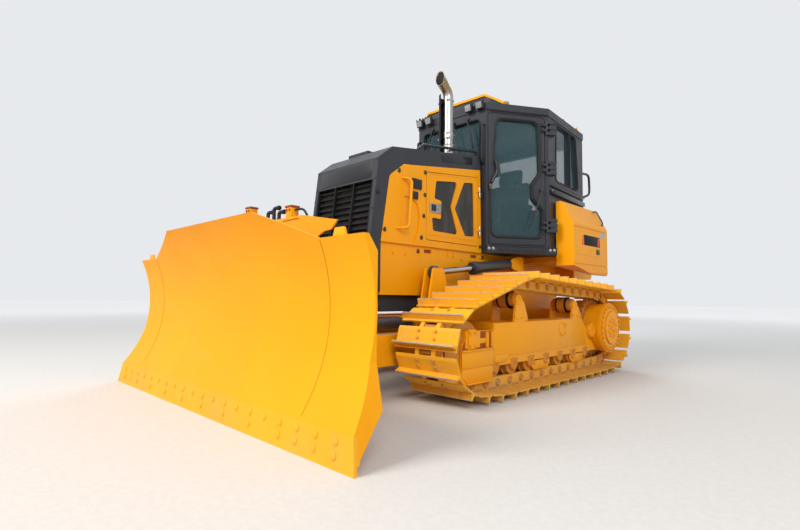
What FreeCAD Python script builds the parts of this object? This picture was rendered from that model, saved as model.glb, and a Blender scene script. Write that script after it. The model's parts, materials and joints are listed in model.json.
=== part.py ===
"""Crawler bulldozer with an angling and tilting blade, as a parametric FreeCAD document.

Millimetres, +Z up, the blade toward -Y and the machine's left side toward +X. The origin
is on the ground in the middle of the whole machine. Lengthwise places are given as a
station: the distance behind the tip of the blade's cutting edge.
"""
import FreeCAD, Part
import math
import os
import Sketcher
from FreeCAD import Placement, Rotation, Vector

doc = FreeCAD.newDocument("Bulldozer")
sheet = doc.addObject("Spreadsheet::Sheet", "Sizes")

# Driving dimensions: name, value in millimetres (angles in degrees, counts plain), meaning.
SIZES = [
    # Blade
    ("blade_width", 3200, "across the two end bits"),
    ("blade_body_width", 3000, "across the end plates above the end bits"),
    ("blade_shoulder_width", 2306, "between the lines where the outer panels start"),
    ("blade_crown_width", 1274, "top edge of the raised middle"),
    ("blade_height", 1240, "ground to the raised middle"),
    ("blade_wing_height", 1060, "ground to the outer panels' top edge"),
    ("blade_flare_height", 460, "where the end plates start to flare outward"),
    ("blade_hollow", 200, "deepest station of the curved face"),
    ("blade_hollow_height", 620, "height of the deepest station"),
    ("blade_top_lean", 122, "station of the face at the outer panels' top"),
    ("blade_skin", 14, "thickness of the curved plate"),
    ("edge_height", 160, "height of the cutting edge"),
    ("edge_lean", 25, "station of the cutting edge's top"),
    ("edge_thickness", 20, "cutting edge plate"),
    ("end_plate_thickness", 25, "closing plate at each end of the blade"),
    ("blade_back", 310, "station of the rearmost rib of the blade"),
    # Tracks
    ("track_gauge", 1880, "between the middles of the two tracks"),
    ("shoe_width", 560, "width of a track shoe"),
    ("shoe_count", 39, "shoes on one track"),
    ("shoe_thickness", 11, "plate of a shoe"),
    ("shoe_lip", 5, "thin rear edge of a shoe"),
    ("grouser_height", 46, "bar standing on a shoe"),
    ("grouser_root", 24, "bar's thickness at the plate"),
    ("grouser_tip", 13, "bar's thickness at its worn tip"),
    ("rail_height", 88, "rolling face of the chain to the shoe's plate"),
    ("rail_thickness", 34, "one side of the chain"),
    ("rail_spacing", 150, "between the middles of the chain's two sides"),
    ("idler_station", 1490, "front wheel's axle"),
    ("idler_height", 392, "front wheel's axle above ground"),
    ("idler_radius", 205, "front wheel's rolling face"),
    ("sprocket_station", 3890, "drive wheel's axle"),
    ("sprocket_height", 458, "drive wheel's axle above ground"),
    ("sprocket_radius", 292, "drive wheel at the chain's rolling face"),
    ("roller_radius", 88, "bottom roller's rolling face"),
    ("roller_count", 7, "bottom rollers on one side"),
    ("roller_first", 1880, "station of the first bottom roller"),
    ("roller_last", 3480, "station of the last bottom roller"),
    ("carrier_radius", 62, "top roller's rolling face"),
    ("carrier_front", 2225, "station of the front top roller"),
    ("carrier_front_height", 749, "its axle above ground"),
    ("carrier_rear", 3270, "station of the rear top roller"),
    ("carrier_rear_height", 698, "its axle above ground"),
    # Track frames
    ("frame_width", 240, "track frame across"),
    ("frame_wall", 20, "side plates of a track frame"),
    ("frame_front", 1850, "start of the deep part"),
    ("frame_rear", 3745, "lower rear corner of a track frame"),
    ("frame_rear_top", 3417, "upper rear corner of a track frame"),
    ("frame_top", 565, "top of the deep part"),
    ("frame_bottom", 235, "bottom edge of the side plates"),
    ("guard_front", 1440, "front of the lower idler guard"),
    ("guard_top", 425, "top of the lower idler guard"),
    ("guard_bottom", 130, "bottom of the lower idler guard"),
    # Chassis
    ("hull_width", 760, "chassis between its side plates' outer faces"),
    ("hull_front", 1270, "front of the chassis"),
    ("hull_rear", 4250, "rear wall"),
    ("drawbar_reach", 550, "rear wall to the rear of the drawbar"),
    ("hull_top", 1200, "top of the chassis' side plates"),
    ("hull_bottom", 776, "lower edge under the engine"),
    ("case_front", 2620, "front of the deep drive case"),
    ("case_bottom", 390, "underside of the drive case"),
    ("bay_wall", 40, "chassis side plate beside the engine"),
    ("belly_bottom", 640, "underside of the belly guard"),
    ("cross_tube_radius", 62, "tubes that carry the track frames"),
    ("cross_tube_front", 2810, "station of the front tube"),
    ("cross_tube_rear", 3300, "station of the rear tube"),
    ("cross_tube_height", 480, "height of the tubes"),
    ("axle_tube_radius", 185, "housing between the drive case and a final drive"),
    ("final_drive_radius", 258, "bolted cover of a final drive"),
    ("final_drive_face", 1180, "outer face of a final drive from the middle"),
    ("final_drive_step", 20, "how far its bolted flange lies behind its hub"),
    ("final_drive_hub_radius", 128, "raised hub on the bolted cover"),
    # Push frame
    ("arm_middle", 520, "middle of a push arm from the centre line"),
    ("arm_width", 150, "push arm across"),
    ("arm_bottom", 250, "underside of the push arms at the front"),
    ("arm_top", 480, "top of the push arms at the front"),
    ("push_pivot_station", 2480, "push frame's pivot"),
    ("push_pivot_height", 450, "push frame's pivot"),
    ("pivot_pin_radius", 48, "pin of the push frame"),
    ("pivot_eye_radius", 105, "rear eye of a push arm"),
    ("cross_beam_front", 760, "front face of the cross beam"),
    ("cross_beam_depth", 200, "cross beam along the machine"),
    ("mast_width", 250, "guard mast at the middle of the push frame"),
    ("mast_front", 650, "front face of the mast"),
    ("mast_depth", 130, "mast along the machine"),
    ("mast_top", 1348, "top of the mast"),
    ("mast_shield_half", 644, "outer tip of the mast's shield"),
    ("king_pin_station", 540, "pin about which the blade angles"),
    ("king_pin_radius", 45, "that pin"),
    ("swing_beam_half", 610, "half the width of the swing frame"),
    ("swing_beam_front", 332, "front face of the swing frame"),
    ("swing_beam_depth", 110, "swing frame along the machine"),
    ("swing_beam_bottom", 300, "underside of the swing frame"),
    ("swing_beam_height", 140, "swing frame from bottom to top"),
    ("trunnion_radius", 60, "pin about which the blade tilts"),
    ("pin_clearance", 0.3, "between a pin and its bore"),
    ("seat_gap", 0.3, "between pieces that lie against each other"),
    # Cylinders
    ("lift_barrel_radius", 52, "lift cylinder's barrel"),
    ("lift_rod_radius", 29, "lift cylinder's rod"),
    ("lift_base_station", 2970, "rear pin of a lift cylinder"),
    ("lift_base_height", 1105, "rear pin of a lift cylinder"),
    ("lift_eye_station", 1776, "front pin of a lift cylinder"),
    ("lift_eye_height", 972, "front pin of a lift cylinder"),
    ("lift_gland_reach", 560, "front pin to the barrel's mouth"),
    ("angle_barrel_radius", 45, "angle cylinder's barrel"),
    ("angle_rod_radius", 24, "angle cylinder's rod"),
    ("angle_base_station", 1430, "rear pin of an angle cylinder"),
    ("angle_height", 560, "both angle cylinders' axis"),
    ("angle_gland_reach", 330, "front pin to the barrel's mouth"),
    ("tilt_barrel_radius", 42, "tilt cylinder's barrel"),
    ("tilt_rod_radius", 22, "tilt cylinder's rod"),
    ("tilt_base_side", -90, "tilt cylinder's upper pin from the centre line"),
    ("tilt_base_height", 950, "tilt cylinder's upper pin"),
    ("tilt_eye_side", -800, "tilt cylinder's lower pin from the centre line"),
    ("tilt_eye_height", 790, "tilt cylinder's lower pin"),
    ("tilt_station", 400, "station of the tilt cylinder"),
    ("tilt_gland_reach", 270, "lower pin to the barrel's mouth"),
    ("eye_radius", 55, "outside of a cylinder's eye"),
    ("eye_width", 50, "cylinder's eye along its pin"),
    ("eye_pin_radius", 25, "pin through a cylinder's rear eye"),
    ("open_pin_radius", 20, "pin through a rod's eye"),
    ("open_bore_radius", 31, "bore of a rod's eye, wide enough for the eye's drift"),
    ("angle_drift", 26, "room for an angle rod's eye beside its lug"),
    ("ear_thickness", 20, "one ear beside a cylinder's eye"),
    ("ear_gap", 6, "between an eye and the ear beside it"),
    # Hood
    ("hood_width", 804, "across the hood"),
    ("hood_wall", 30, "panels of the hood"),
    ("nose_foot", 1100, "station of the front face's lower edge"),
    ("nose_foot_height", 800, "its height"),
    ("nose_brow", 1228, "station of the front face's upper edge"),
    ("nose_brow_height", 1872, "its height"),
    ("hood_crest", 1380, "station where the hood's top starts"),
    ("hood_crest_height", 1990, "its height"),
    ("hood_split", 1610, "station where the nose meets the hood's cover"),
    ("hood_rear", 2608, "rear edge of the hood"),
    ("hood_rear_height", 2171, "its height"),
    ("hood_band", 142, "depth of the dark band along the hood"),
    ("grille_width", 730, "louvred opening in the front face"),
    ("grille_bottom", 930, "lower edge of the opening"),
    ("grille_top", 1695, "upper edge of the opening"),
    ("louvre_count", 15, "blades of the grille"),
    ("engine_door_front", 1800, "front edge of an engine door"),
    ("engine_door_rear", 2572, "rear edge of an engine door"),
    ("engine_door_bottom", 1258, "lower edge of an engine door"),
    ("engine_door_top", 1862, "upper edge at the front"),
    ("engine_door_rise", 88, "how much higher the upper edge ends"),
    ("panel_gap", 6, "between a door or lid and its frame"),
    ("recess_depth", 14, "hand room sunk into a side panel behind its grab bar"),
    ("fold_depth", 3, "folds pressed into doors and boxes"),
    ("stack_station", 2207, "exhaust stack"),
    ("stack_side", 317, "exhaust stack from the centre line"),
    ("stack_radius", 48, "exhaust stack"),
    ("stack_foot_radius", 54, "wider foot of the stack"),
    ("stack_reach", 125, "from the stack's axis forward to its upright mouth"),
    ("shield_radius", 90, "half round heat shield beside the stack"),
    ("stack_wall", 4, "its wall"),
    ("stack_straight_top", 2668, "where the stack starts to bend"),
    ("stack_bend", 100, "radius of the bend"),
    # Cab
    ("cab_front", 2640, "station of the cab's front wall"),
    ("cab_front_half", 452, "half width at the front wall"),
    ("cab_corner", 3225, "station of the widest corner"),
    ("cab_corner_half", 820, "half width at that corner"),
    ("cab_rear", 4225, "station of the rear wall"),
    ("cab_rear_half", 735, "half width at the rear wall"),
    ("cab_floor", 1200, "underside of the cab"),
    ("cab_skirt", 85, "height of the sill round the cab's foot"),
    ("cab_roof", 2655, "underside of the roof"),
    ("cab_wall", 60, "cab's wall and doors"),
    ("roof_edge", 66, "thickness of the roof's edge"),
    ("roof_rise", 41, "raised middle of the roof"),
    ("brow_rise", 107, "from the roof's edge up to the visor over the windscreen"),
    ("glass_thickness", 8, "every pane"),
    # Rear
    ("fender_front", 3360, "front face of the boxes beside the cab"),
    ("fender_rear", 4200, "rear face of those boxes"),
    ("fender_outer", 1020, "outer face of those boxes"),
    ("tank_width", 1200, "fuel tank across"),
    ("tank_rear", 4780, "rear of the fuel tank"),
    ("hitch_pin_radius", 19, "pin hole of the drawbar"),
    ("lid_station", 1495, "middle of the lid over the radiator"),
    ("lid_side", -70, "the lid's middle from the centre line"),
    ("lid_width", 260, "lid across"),
    ("lid_length", 160, "lid along the machine"),
]

for index, (alias, number, meaning) in enumerate(SIZES, start=1):
    sheet.set("A%d" % index, alias)
    sheet.set("B%d" % index, str(number))
    sheet.set("C%d" % index, meaning)
    sheet.setAlias("B%d" % index, alias)
doc.recompute()


class Size:
    """A length that keeps both its present value and the sheet formula it comes from."""

    def __init__(self, value, text):
        self.value = float(value)
        self.text = text

    @staticmethod
    def of(other):
        if isinstance(other, Size):
            return other
        return Size(other, "(%r)" % float(other))

    def joined(self, sign, other, value):
        return Size(value, "(%s %s %s)" % (self.text, sign, other.text))

    def __add__(self, other):
        other = Size.of(other)
        return self.joined("+", other, self.value + other.value)

    def __sub__(self, other):
        other = Size.of(other)
        return self.joined("-", other, self.value - other.value)

    def __mul__(self, other):
        other = Size.of(other)
        return self.joined("*", other, self.value * other.value)

    def __truediv__(self, other):
        other = Size.of(other)
        return self.joined("/", other, self.value / other.value)

    def __radd__(self, other):
        return Size.of(other) + self

    def __rsub__(self, other):
        return Size.of(other) - self

    def __rmul__(self, other):
        return Size.of(other) * self

    def __neg__(self):
        return Size.of(0) - self


class Sheet:
    """Gives each driving dimension by its name."""

    def __getattr__(self, alias):
        return Size(sheet.get(alias), "Sizes." + alias)


S = Sheet()
PIECES = []
DATUM = -(S.hull_rear + S.drawbar_reach) / 2
SIDES = (("left", 1), ("right", -1))


def hypotenuse(a, b):
    """Length of the diagonal of two Sizes."""
    a, b = Size.of(a), Size.of(b)
    return Size(math.hypot(a.value, b.value), "sqrt(%s ^ 2 + %s ^ 2)" % (a.text, b.text))


def bearing(rise, run):
    """Angle in degrees whose tangent is rise over run."""
    rise, run = Size.of(rise), Size.of(run)
    degrees = math.degrees(math.atan2(rise.value, run.value))
    return Size(degrees, "atan2(%s; %s) / 1 deg" % (rise.text, run.text))


def bind(item, name, size):
    """Bind one property of a document object to a Size."""
    item.setExpression(name, Size.of(size).text)


def place(item, at, axis=None, angle=0):
    """Bind a Placement: at is (side, station, height); angle turns about the axis."""
    if axis is not None:
        item.Placement = Placement(Vector(0, 0, 0), Rotation(Vector(*axis), Size.of(angle).value or 1))
        bind(item, "Placement.Rotation.Angle", angle)
    side, station, height = at
    bind(item, "Placement.Base.x", side)
    bind(item, "Placement.Base.y", Size.of(station) + DATUM)
    bind(item, "Placement.Base.z", height)
    return item


def block(name, size, centre):
    """A Part::Box from its three lengths and its centre."""
    item = doc.addObject("Part::Box", name)
    corner = []
    for prop, length, middle in zip(("Length", "Width", "Height"), size, centre):
        bind(item, prop, length)
        corner.append(Size.of(middle) - Size.of(length) / 2)
    return place(item, corner)


TURNS = {"X": (0, 1, 0), "Y": (-1, 0, 0)}


def bar(name, radius, length, centre, along="X"):
    """A Part::Cylinder of a given length centred on a point, along X, Y or Z."""
    item = doc.addObject("Part::Cylinder", name)
    bind(item, "Radius", radius)
    bind(item, "Height", length)
    base = [Size.of(c) for c in centre]
    index = "XYZ".index(along)
    base[index] = base[index] - Size.of(length) / 2
    if along == "Z":
        return place(item, base)
    return place(item, base, TURNS[along], 90)


def fuse(name, *items):
    """One solid out of pieces that touch or overlap."""
    item = doc.addObject("Part::MultiFuse", name)
    item.Shapes = list(items)
    item.Refine = True
    return item


def cut(name, base, *tools):
    """The base with the tools taken away."""
    tool = tools[0] if len(tools) == 1 else fuse(name + "Tools", *tools)
    item = doc.addObject("Part::Cut", name)
    item.Base = base
    item.Tool = tool
    return item


def common(name, first, second):
    """What two shapes share."""
    item = doc.addObject("Part::Common", name)
    item.Base = first
    item.Tool = second
    return item


def group(name, *items):
    """Solids that stay apart but share one node."""
    item = doc.addObject("Part::Compound", name)
    item.Links = list(items)
    return item


def mirrored(name, source):
    """The same piece on the other side of the machine."""
    item = doc.addObject("Part::Mirroring", name)
    item.Source = source
    item.Normal = Vector(1, 0, 0)
    return item


def solid(name, shape):
    """A Part::Feature from a shape made with Part's functions in station coordinates."""
    item = doc.addObject("Part::Feature", name)
    item.Shape = shape
    bind(item, "Placement.Base.y", DATUM)
    return item


def keep(item, label):
    """Make an object a sub-part: its Label names its node and its file."""
    item.Label = label
    PIECES.append(item)
    return item


def rounded_corners(corners):
    """Tangent points and arc of each corner of an outline of (across, up, radius)."""
    points = [Vector(Size.of(c[0]).value, Size.of(c[1]).value, 0) for c in corners]
    count = len(points)
    result = []
    for i, corner in enumerate(corners):
        here = points[i]
        if len(corner) < 3:
            result.append((here, here, None))
            continue
        radius = Size.of(corner[2]).value
        back = (points[i - 1] - here).normalize()
        ahead = (points[(i + 1) % count] - here).normalize()
        half = back.getAngle(ahead) / 2
        reach = radius / math.tan(half)
        centre = here + (back + ahead).normalize() * (radius / math.sin(half))
        turn = (here - points[i - 1]).cross(points[(i + 1) % count] - here).z
        result.append((here + back * reach, here + ahead * reach, (centre, radius, turn)))
    return points, result


def draw(sketch, corners):
    """Draw a closed outline into a sketch, every corner and radius bound to the sheet."""
    points, cuts = rounded_corners(corners)
    count = len(corners)
    lines = []
    for i in range(count):
        segment = Part.LineSegment(cuts[i][1], cuts[(i + 1) % count][0])
        lines.append(sketch.addGeometry(segment, False))
    bound = []
    for i, corner in enumerate(corners):
        before, after = lines[i - 1], lines[i]
        if cuts[i][2] is None:
            sketch.addConstraint(Sketcher.Constraint("Coincident", before, 2, after, 1))
            spot = after
        else:
            centre, radius, turn = cuts[i][2]
            enter, leave = cuts[i][0] - centre, cuts[i][1] - centre
            first, last = math.atan2(enter.y, enter.x), math.atan2(leave.y, leave.x)
            ends = (1, 2)
            if turn < 0:
                first, last = last, first
                ends = (2, 1)
            if last < first:
                last += 2 * math.pi
            circle = Part.Circle(centre, Vector(0, 0, 1), radius)
            arc = sketch.addGeometry(Part.ArcOfCircle(circle, first, last), False)
            sketch.addConstraint(Sketcher.Constraint("Tangent", before, 2, arc, ends[0]))
            sketch.addConstraint(Sketcher.Constraint("Tangent", arc, ends[1], after, 1))
            rule = sketch.addConstraint(Sketcher.Constraint("Radius", arc, radius))
            bound.append((rule, corner[2]))
            spot = sketch.addGeometry(Part.Point(points[i]), True)
            sketch.addConstraint(Sketcher.Constraint("PointOnObject", spot, 1, before))
            sketch.addConstraint(Sketcher.Constraint("PointOnObject", spot, 1, after))
        for kind, size, now in (("DistanceX", corner[0], points[i].x), ("DistanceY", corner[1], points[i].y)):
            rule = sketch.addConstraint(Sketcher.Constraint(kind, -1, 1, spot, 1, now))
            bound.append((rule, size))
    for rule, size in bound:
        bind(sketch, "Constraints[%d]" % rule, size)


def plate(name, plane, corners, start, depth, at=(0, 0, 0), turn=None):
    """A PartDesign body padded from an outline on one of its base planes.

    On the YZ plane an outline runs (station, height) and pads toward +X, on XY it runs
    (side, station) and pads upward, on XZ it runs (side, height) and pads toward the front.
    The body may stand elsewhere than at the datum and be turned about a vertical axis.
    """
    body = doc.addObject("PartDesign::Body", name)
    sketch = body.newObject("Sketcher::SketchObject", name + "Outline")
    base = [item for item in body.Origin.OriginFeatures if item.Role == plane + "_Plane"][0]
    sketch.AttachmentSupport = [(base, "")]
    sketch.MapMode = "FlatFace"
    draw(sketch, corners)
    bind(sketch, "AttachmentOffset.Base.z", start)
    pad = body.newObject("PartDesign::Pad", name + "Pad")
    pad.Profile = sketch
    bind(pad, "Length", depth)
    body.Tip = pad
    sketch.Visibility = False
    if turn is None:
        return place(body, at)
    return place(body, at, (0, 0, 1), turn)


def side_plate(name, corners, middle, width):
    """A plate with a side-view outline, centred at a distance from the centre line."""
    return plate(name, "YZ", corners, Size.of(middle) - Size.of(width) / 2, width)


def plan_plate(name, corners, bottom, height):
    """A plate with a top-view outline."""
    return plate(name, "XY", corners, bottom, height)


def front_plate(name, corners, station, depth):
    """A plate with a front-view outline whose front face is at a station."""
    return plate(name, "XZ", corners, -(Size.of(station) + Size.of(depth)), depth)


def blade_section(name, rear):
    """Full-width solid between the blade's curved face and a flat rear at a station.

    With rear None the solid is the curved skin alone. The face is one arc above the edge.
    """
    low = Vector(0, S.edge_lean.value, S.edge_height.value)
    deep = Vector(0, S.blade_hollow.value, S.blade_hollow_height.value)
    top = Vector(0, S.blade_top_lean.value, S.blade_wing_height.value)
    circle = Part.Arc(low, deep, top).toShape().Curve
    centre, radius = circle.Center, circle.Radius
    half = S.blade_width.value / 2
    behind = S.edge_thickness.value
    foot = S.edge_height.value / 4
    foot_lean = S.edge_lean.value / 4

    def on_arc(reach, height):
        return Vector(0, centre.y + math.sqrt(reach ** 2 - (height - centre.z) ** 2), height)

    crown = S.blade_height.value
    front_top = on_arc(radius, crown)
    edges = [
        Part.LineSegment(Vector(0, foot_lean + behind, foot), Vector(0, low.y + behind, low.z)),
        Part.LineSegment(Vector(0, low.y + behind, low.z), low),
        Part.Arc(low, deep, front_top),
    ]
    if rear is None:
        outer = radius + S.blade_skin.value
        back_top = on_arc(outer, crown)
        back_low = on_arc(outer, low.z + 60)
        skin_foot = Vector(0, foot_lean + behind + S.blade_skin.value, foot)
        edges += [
            Part.LineSegment(front_top, back_top),
            Part.Arc(back_top, on_arc(outer, deep.z), back_low),
            Part.LineSegment(back_low, skin_foot),
            Part.LineSegment(skin_foot, Vector(0, foot_lean + behind, foot)),
        ]
    else:
        back = rear.value
        chin = Vector(0, back, S.edge_height.value * 1.5)
        brow = Vector(0, back, S.blade_wing_height.value - 80)
        edges += [
            Part.LineSegment(front_top, Vector(0, front_top.y + S.blade_skin.value, crown)),
            Part.LineSegment(Vector(0, front_top.y + S.blade_skin.value, crown), brow),
            Part.LineSegment(brow, chin),
            Part.LineSegment(chin, Vector(0, foot_lean + behind, foot)),
        ]
    face = Part.Face(Part.Wire([e.toShape() for e in edges]))
    shape = face.extrude(Vector(2 * half, 0, 0))
    shape.translate(Vector(-half, 0, 0))
    return solid(name, shape)


def blade_outline(inset):
    """Front view of the blade, drawn in from its ends by an inset."""
    wide = S.blade_width / 2 - inset
    body = S.blade_body_width / 2 - inset
    shoulder = S.blade_shoulder_width / 2
    crown = S.blade_crown_width / 2
    right = [(wide, 0), (body, S.blade_flare_height), (body, S.blade_wing_height),
             (shoulder, S.blade_wing_height), (crown, S.blade_height)]
    left = [(-across, up) for across, up in reversed(right)]
    return right + left


def make_blade():
    """Curved blade with end plates, ribs, beams, tilt bearing and the tilt cylinder's ears."""
    deep = S.blade_width
    skin = common("BladeSkin", blade_section("BladeCurve", None),
                  front_plate("BladeFront", blade_outline(0), -100, deep))
    full = blade_section("BladeEndBlock", S.blade_hollow + S.blade_skin)
    wide, body = S.blade_width / 2, S.blade_body_width / 2
    ends = []
    for side, sign in SIDES:
        inner = S.end_plate_thickness
        ends.append(front_plate("BladeEnd" + side, [
            (sign * wide, 0), (sign * body, S.blade_flare_height), (sign * body, S.blade_wing_height),
            (sign * (body - inner), S.blade_wing_height), (sign * (body - inner), S.blade_flare_height),
            (sign * (wide - inner), 0)], -100, deep))
    end_plates = common("BladeEnds", full, group("BladeEndBands", *ends))
    rib_top = S.blade_wing_height - 100
    ribbed = blade_section("BladeRibBlock", S.blade_back)
    ribs = []
    for middle in (250, 640, 1120):
        for side, sign in SIDES:
            ribs.append(block("BladeRib%s%d" % (side, middle), (S.blade_skin, 600, rib_top - 200),
                              (sign * middle, 200, (rib_top + 200) / 2)))
    webs = common("BladeWebs", ribbed, group("BladeRibBands", *ribs))
    beams = []
    skin_rear = S.blade_hollow + S.blade_skin
    for label, low, high in (("Low", 170, 250), ("Mid", 480, 560), ("High", 850, 920)):
        run = S.blade_back - skin_rear + 60
        beams.append(block("BladeBeam" + label, (2 * 1120, run, high - low),
                           (0, S.blade_back - run / 2, (low + high) / 2)))
    beam_set = common("BladeBeams", ribbed, group("BladeBeamBlocks", *beams))
    pin_height = S.swing_beam_bottom + S.swing_beam_height / 2
    boss_rear = S.swing_beam_front - S.ear_gap
    boss_depth = boss_rear - skin_rear + 6
    boss = block("BladeBoss", (250, boss_depth, 230), (0, boss_rear - boss_depth / 2, pin_height))
    bore = bar("BladeBore", S.trunnion_radius + S.pin_clearance, boss_depth,
               (0, boss_rear - boss_depth / 2 + 14, pin_height), "Y")
    ears = eye_ears("BladeTiltEars", (S.tilt_eye_side, S.tilt_station, S.tilt_eye_height), -1,
                    S.open_pin_radius)
    arm_side = S.tilt_eye_side - S.eye_radius - 2 * S.ear_gap - S.ear_thickness / 2
    arm_run = S.tilt_station + S.eye_width / 2 + S.ear_gap + S.ear_thickness - skin_rear + 10
    arm = block("BladeTiltArm", (S.ear_thickness, arm_run, 110),
                (arm_side, skin_rear - 10 + arm_run / 2, S.tilt_eye_height))
    blade = fuse("Blade", skin, end_plates, webs, beam_set, boss, ears, arm)
    keep(cut("BladeBody", blade, bore), "blade")

    edge = front_plate("EdgeFront", [
        (S.blade_width / 2, 0), (-S.blade_width / 2, 0),
        (-(S.blade_width / 2 - flare_at(S.edge_height)), S.edge_height - 0.5),
        (S.blade_width / 2 - flare_at(S.edge_height), S.edge_height - 0.5)], -100, 400)
    strip = side_plate("EdgeStrip", [
        (0, 0), (S.edge_thickness, 0), (S.edge_lean + S.edge_thickness, S.edge_height),
        (S.edge_lean, S.edge_height)], 0, S.blade_width)
    keep(common("CuttingEdge", edge, strip), "cutting_edge")


def flare_at(height):
    """How far the blade's flared end has drawn in at a height."""
    return (S.blade_width - S.blade_body_width) / 2 * height / S.blade_flare_height


def eye_ears(name, pin, sign, pin_radius):
    """Two ears on both sides of a cylinder's eye whose pin lies lengthwise, with the pin.

    The ears reach from the pin away from the cylinder, toward sign on the side axis.
    """
    side, station, height = pin
    reach = S.eye_radius + 2 * S.ear_gap + S.ear_thickness
    nose = S.eye_radius - 5
    offset = S.eye_width / 2 + S.ear_gap + S.ear_thickness / 2
    pieces = []
    for label, way in (("Front", -1), ("Rear", 1)):
        where = station + way * offset
        pieces.append(block(name + label, (reach, S.ear_thickness, 2 * nose),
                            (side + sign * reach / 2, where, height)))
        pieces.append(bar(name + label + "Nose", nose, S.ear_thickness, (side, where, height), "Y"))
    pin_length = 2 * offset + S.ear_thickness
    pieces.append(bar(name + "Pin", pin_radius, pin_length, (side, station, height), "Y"))
    return fuse(name, *pieces)


def make_swing_frame():
    """Frame that angles the blade: beam, king pin boss, tilt trunnion, lugs and tilt post."""
    middle = S.swing_beam_bottom + S.swing_beam_height / 2
    station = S.swing_beam_front + S.swing_beam_depth / 2
    rear = S.swing_beam_front + S.swing_beam_depth
    beam = block("SwingBeam", (2 * S.swing_beam_half, S.swing_beam_depth, S.swing_beam_height),
                 (0, station, middle))
    boss_height = S.swing_beam_height - 40
    boss_radius = S.king_pin_radius + 36
    boss = block("SwingBoss", (2 * boss_radius, S.king_pin_station - rear + 2, boss_height),
                 (0, (S.king_pin_station + rear) / 2, middle))
    boss_end = bar("SwingBossEnd", boss_radius, boss_height, (0, S.king_pin_station, middle), "Z")
    trunnion = bar("SwingTrunnion", S.trunnion_radius, 112, (0, S.swing_beam_front - 46, middle), "Y")
    ear_top = S.angle_height + S.eye_width / 2 + S.ear_gap + S.ear_thickness
    web_rear = S.king_pin_station - S.eye_radius - S.ear_gap - S.angle_drift
    web_front = S.swing_beam_front + S.swing_beam_depth / 2
    lugs = []
    for side, sign in SIDES:
        across = sign * S.arm_middle
        lug_bottom = S.swing_beam_bottom + S.swing_beam_height - 10
        lugs.append(block("SwingLugWeb" + side, (100, web_rear - web_front, ear_top - lug_bottom),
                          (across, (web_front + web_rear) / 2, (ear_top + lug_bottom) / 2)))
        offset = S.eye_width / 2 + S.ear_gap + S.ear_thickness / 2
        for label, way in (("Low", -1), ("High", 1)):
            level = S.angle_height + way * offset
            lugs.append(block("SwingEar" + label + side,
                              (100, S.king_pin_station - web_front, S.ear_thickness),
                              (across, (S.king_pin_station + web_front) / 2, level)))
            lugs.append(bar("SwingEarEnd" + label + side, 50, S.ear_thickness,
                            (across, S.king_pin_station, level), "Z"))
            lugs.append(bar("SwingPinHead" + label + side, S.eye_pin_radius, 16,
                            (across, S.king_pin_station, level + way * 16), "Z"))
    post_inner = S.tilt_base_side + S.eye_radius + 2 * S.ear_gap
    post_width = 90
    post_bottom = S.swing_beam_bottom + S.swing_beam_height - 5
    post_depth = S.eye_width + 2 * S.ear_gap + 2 * S.ear_thickness
    post_top = S.tilt_base_height + S.eye_radius
    post = block("SwingPost", (post_width, post_depth, post_top - post_bottom),
                 (post_inner + post_width / 2, S.tilt_station, (post_top + post_bottom) / 2))
    ears = eye_ears("SwingTiltEars", (S.tilt_base_side, S.tilt_station, S.tilt_base_height), 1,
                    S.eye_pin_radius)
    frame = fuse("SwingFrameSolid", beam, boss, boss_end, trunnion, post, ears, *lugs)
    bore = bar("SwingBore", S.king_pin_radius + S.pin_clearance, boss_height + 4,
               (0, S.king_pin_station, middle), "Z")
    keep(cut("SwingFrame", frame, bore), "swing_frame")


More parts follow.
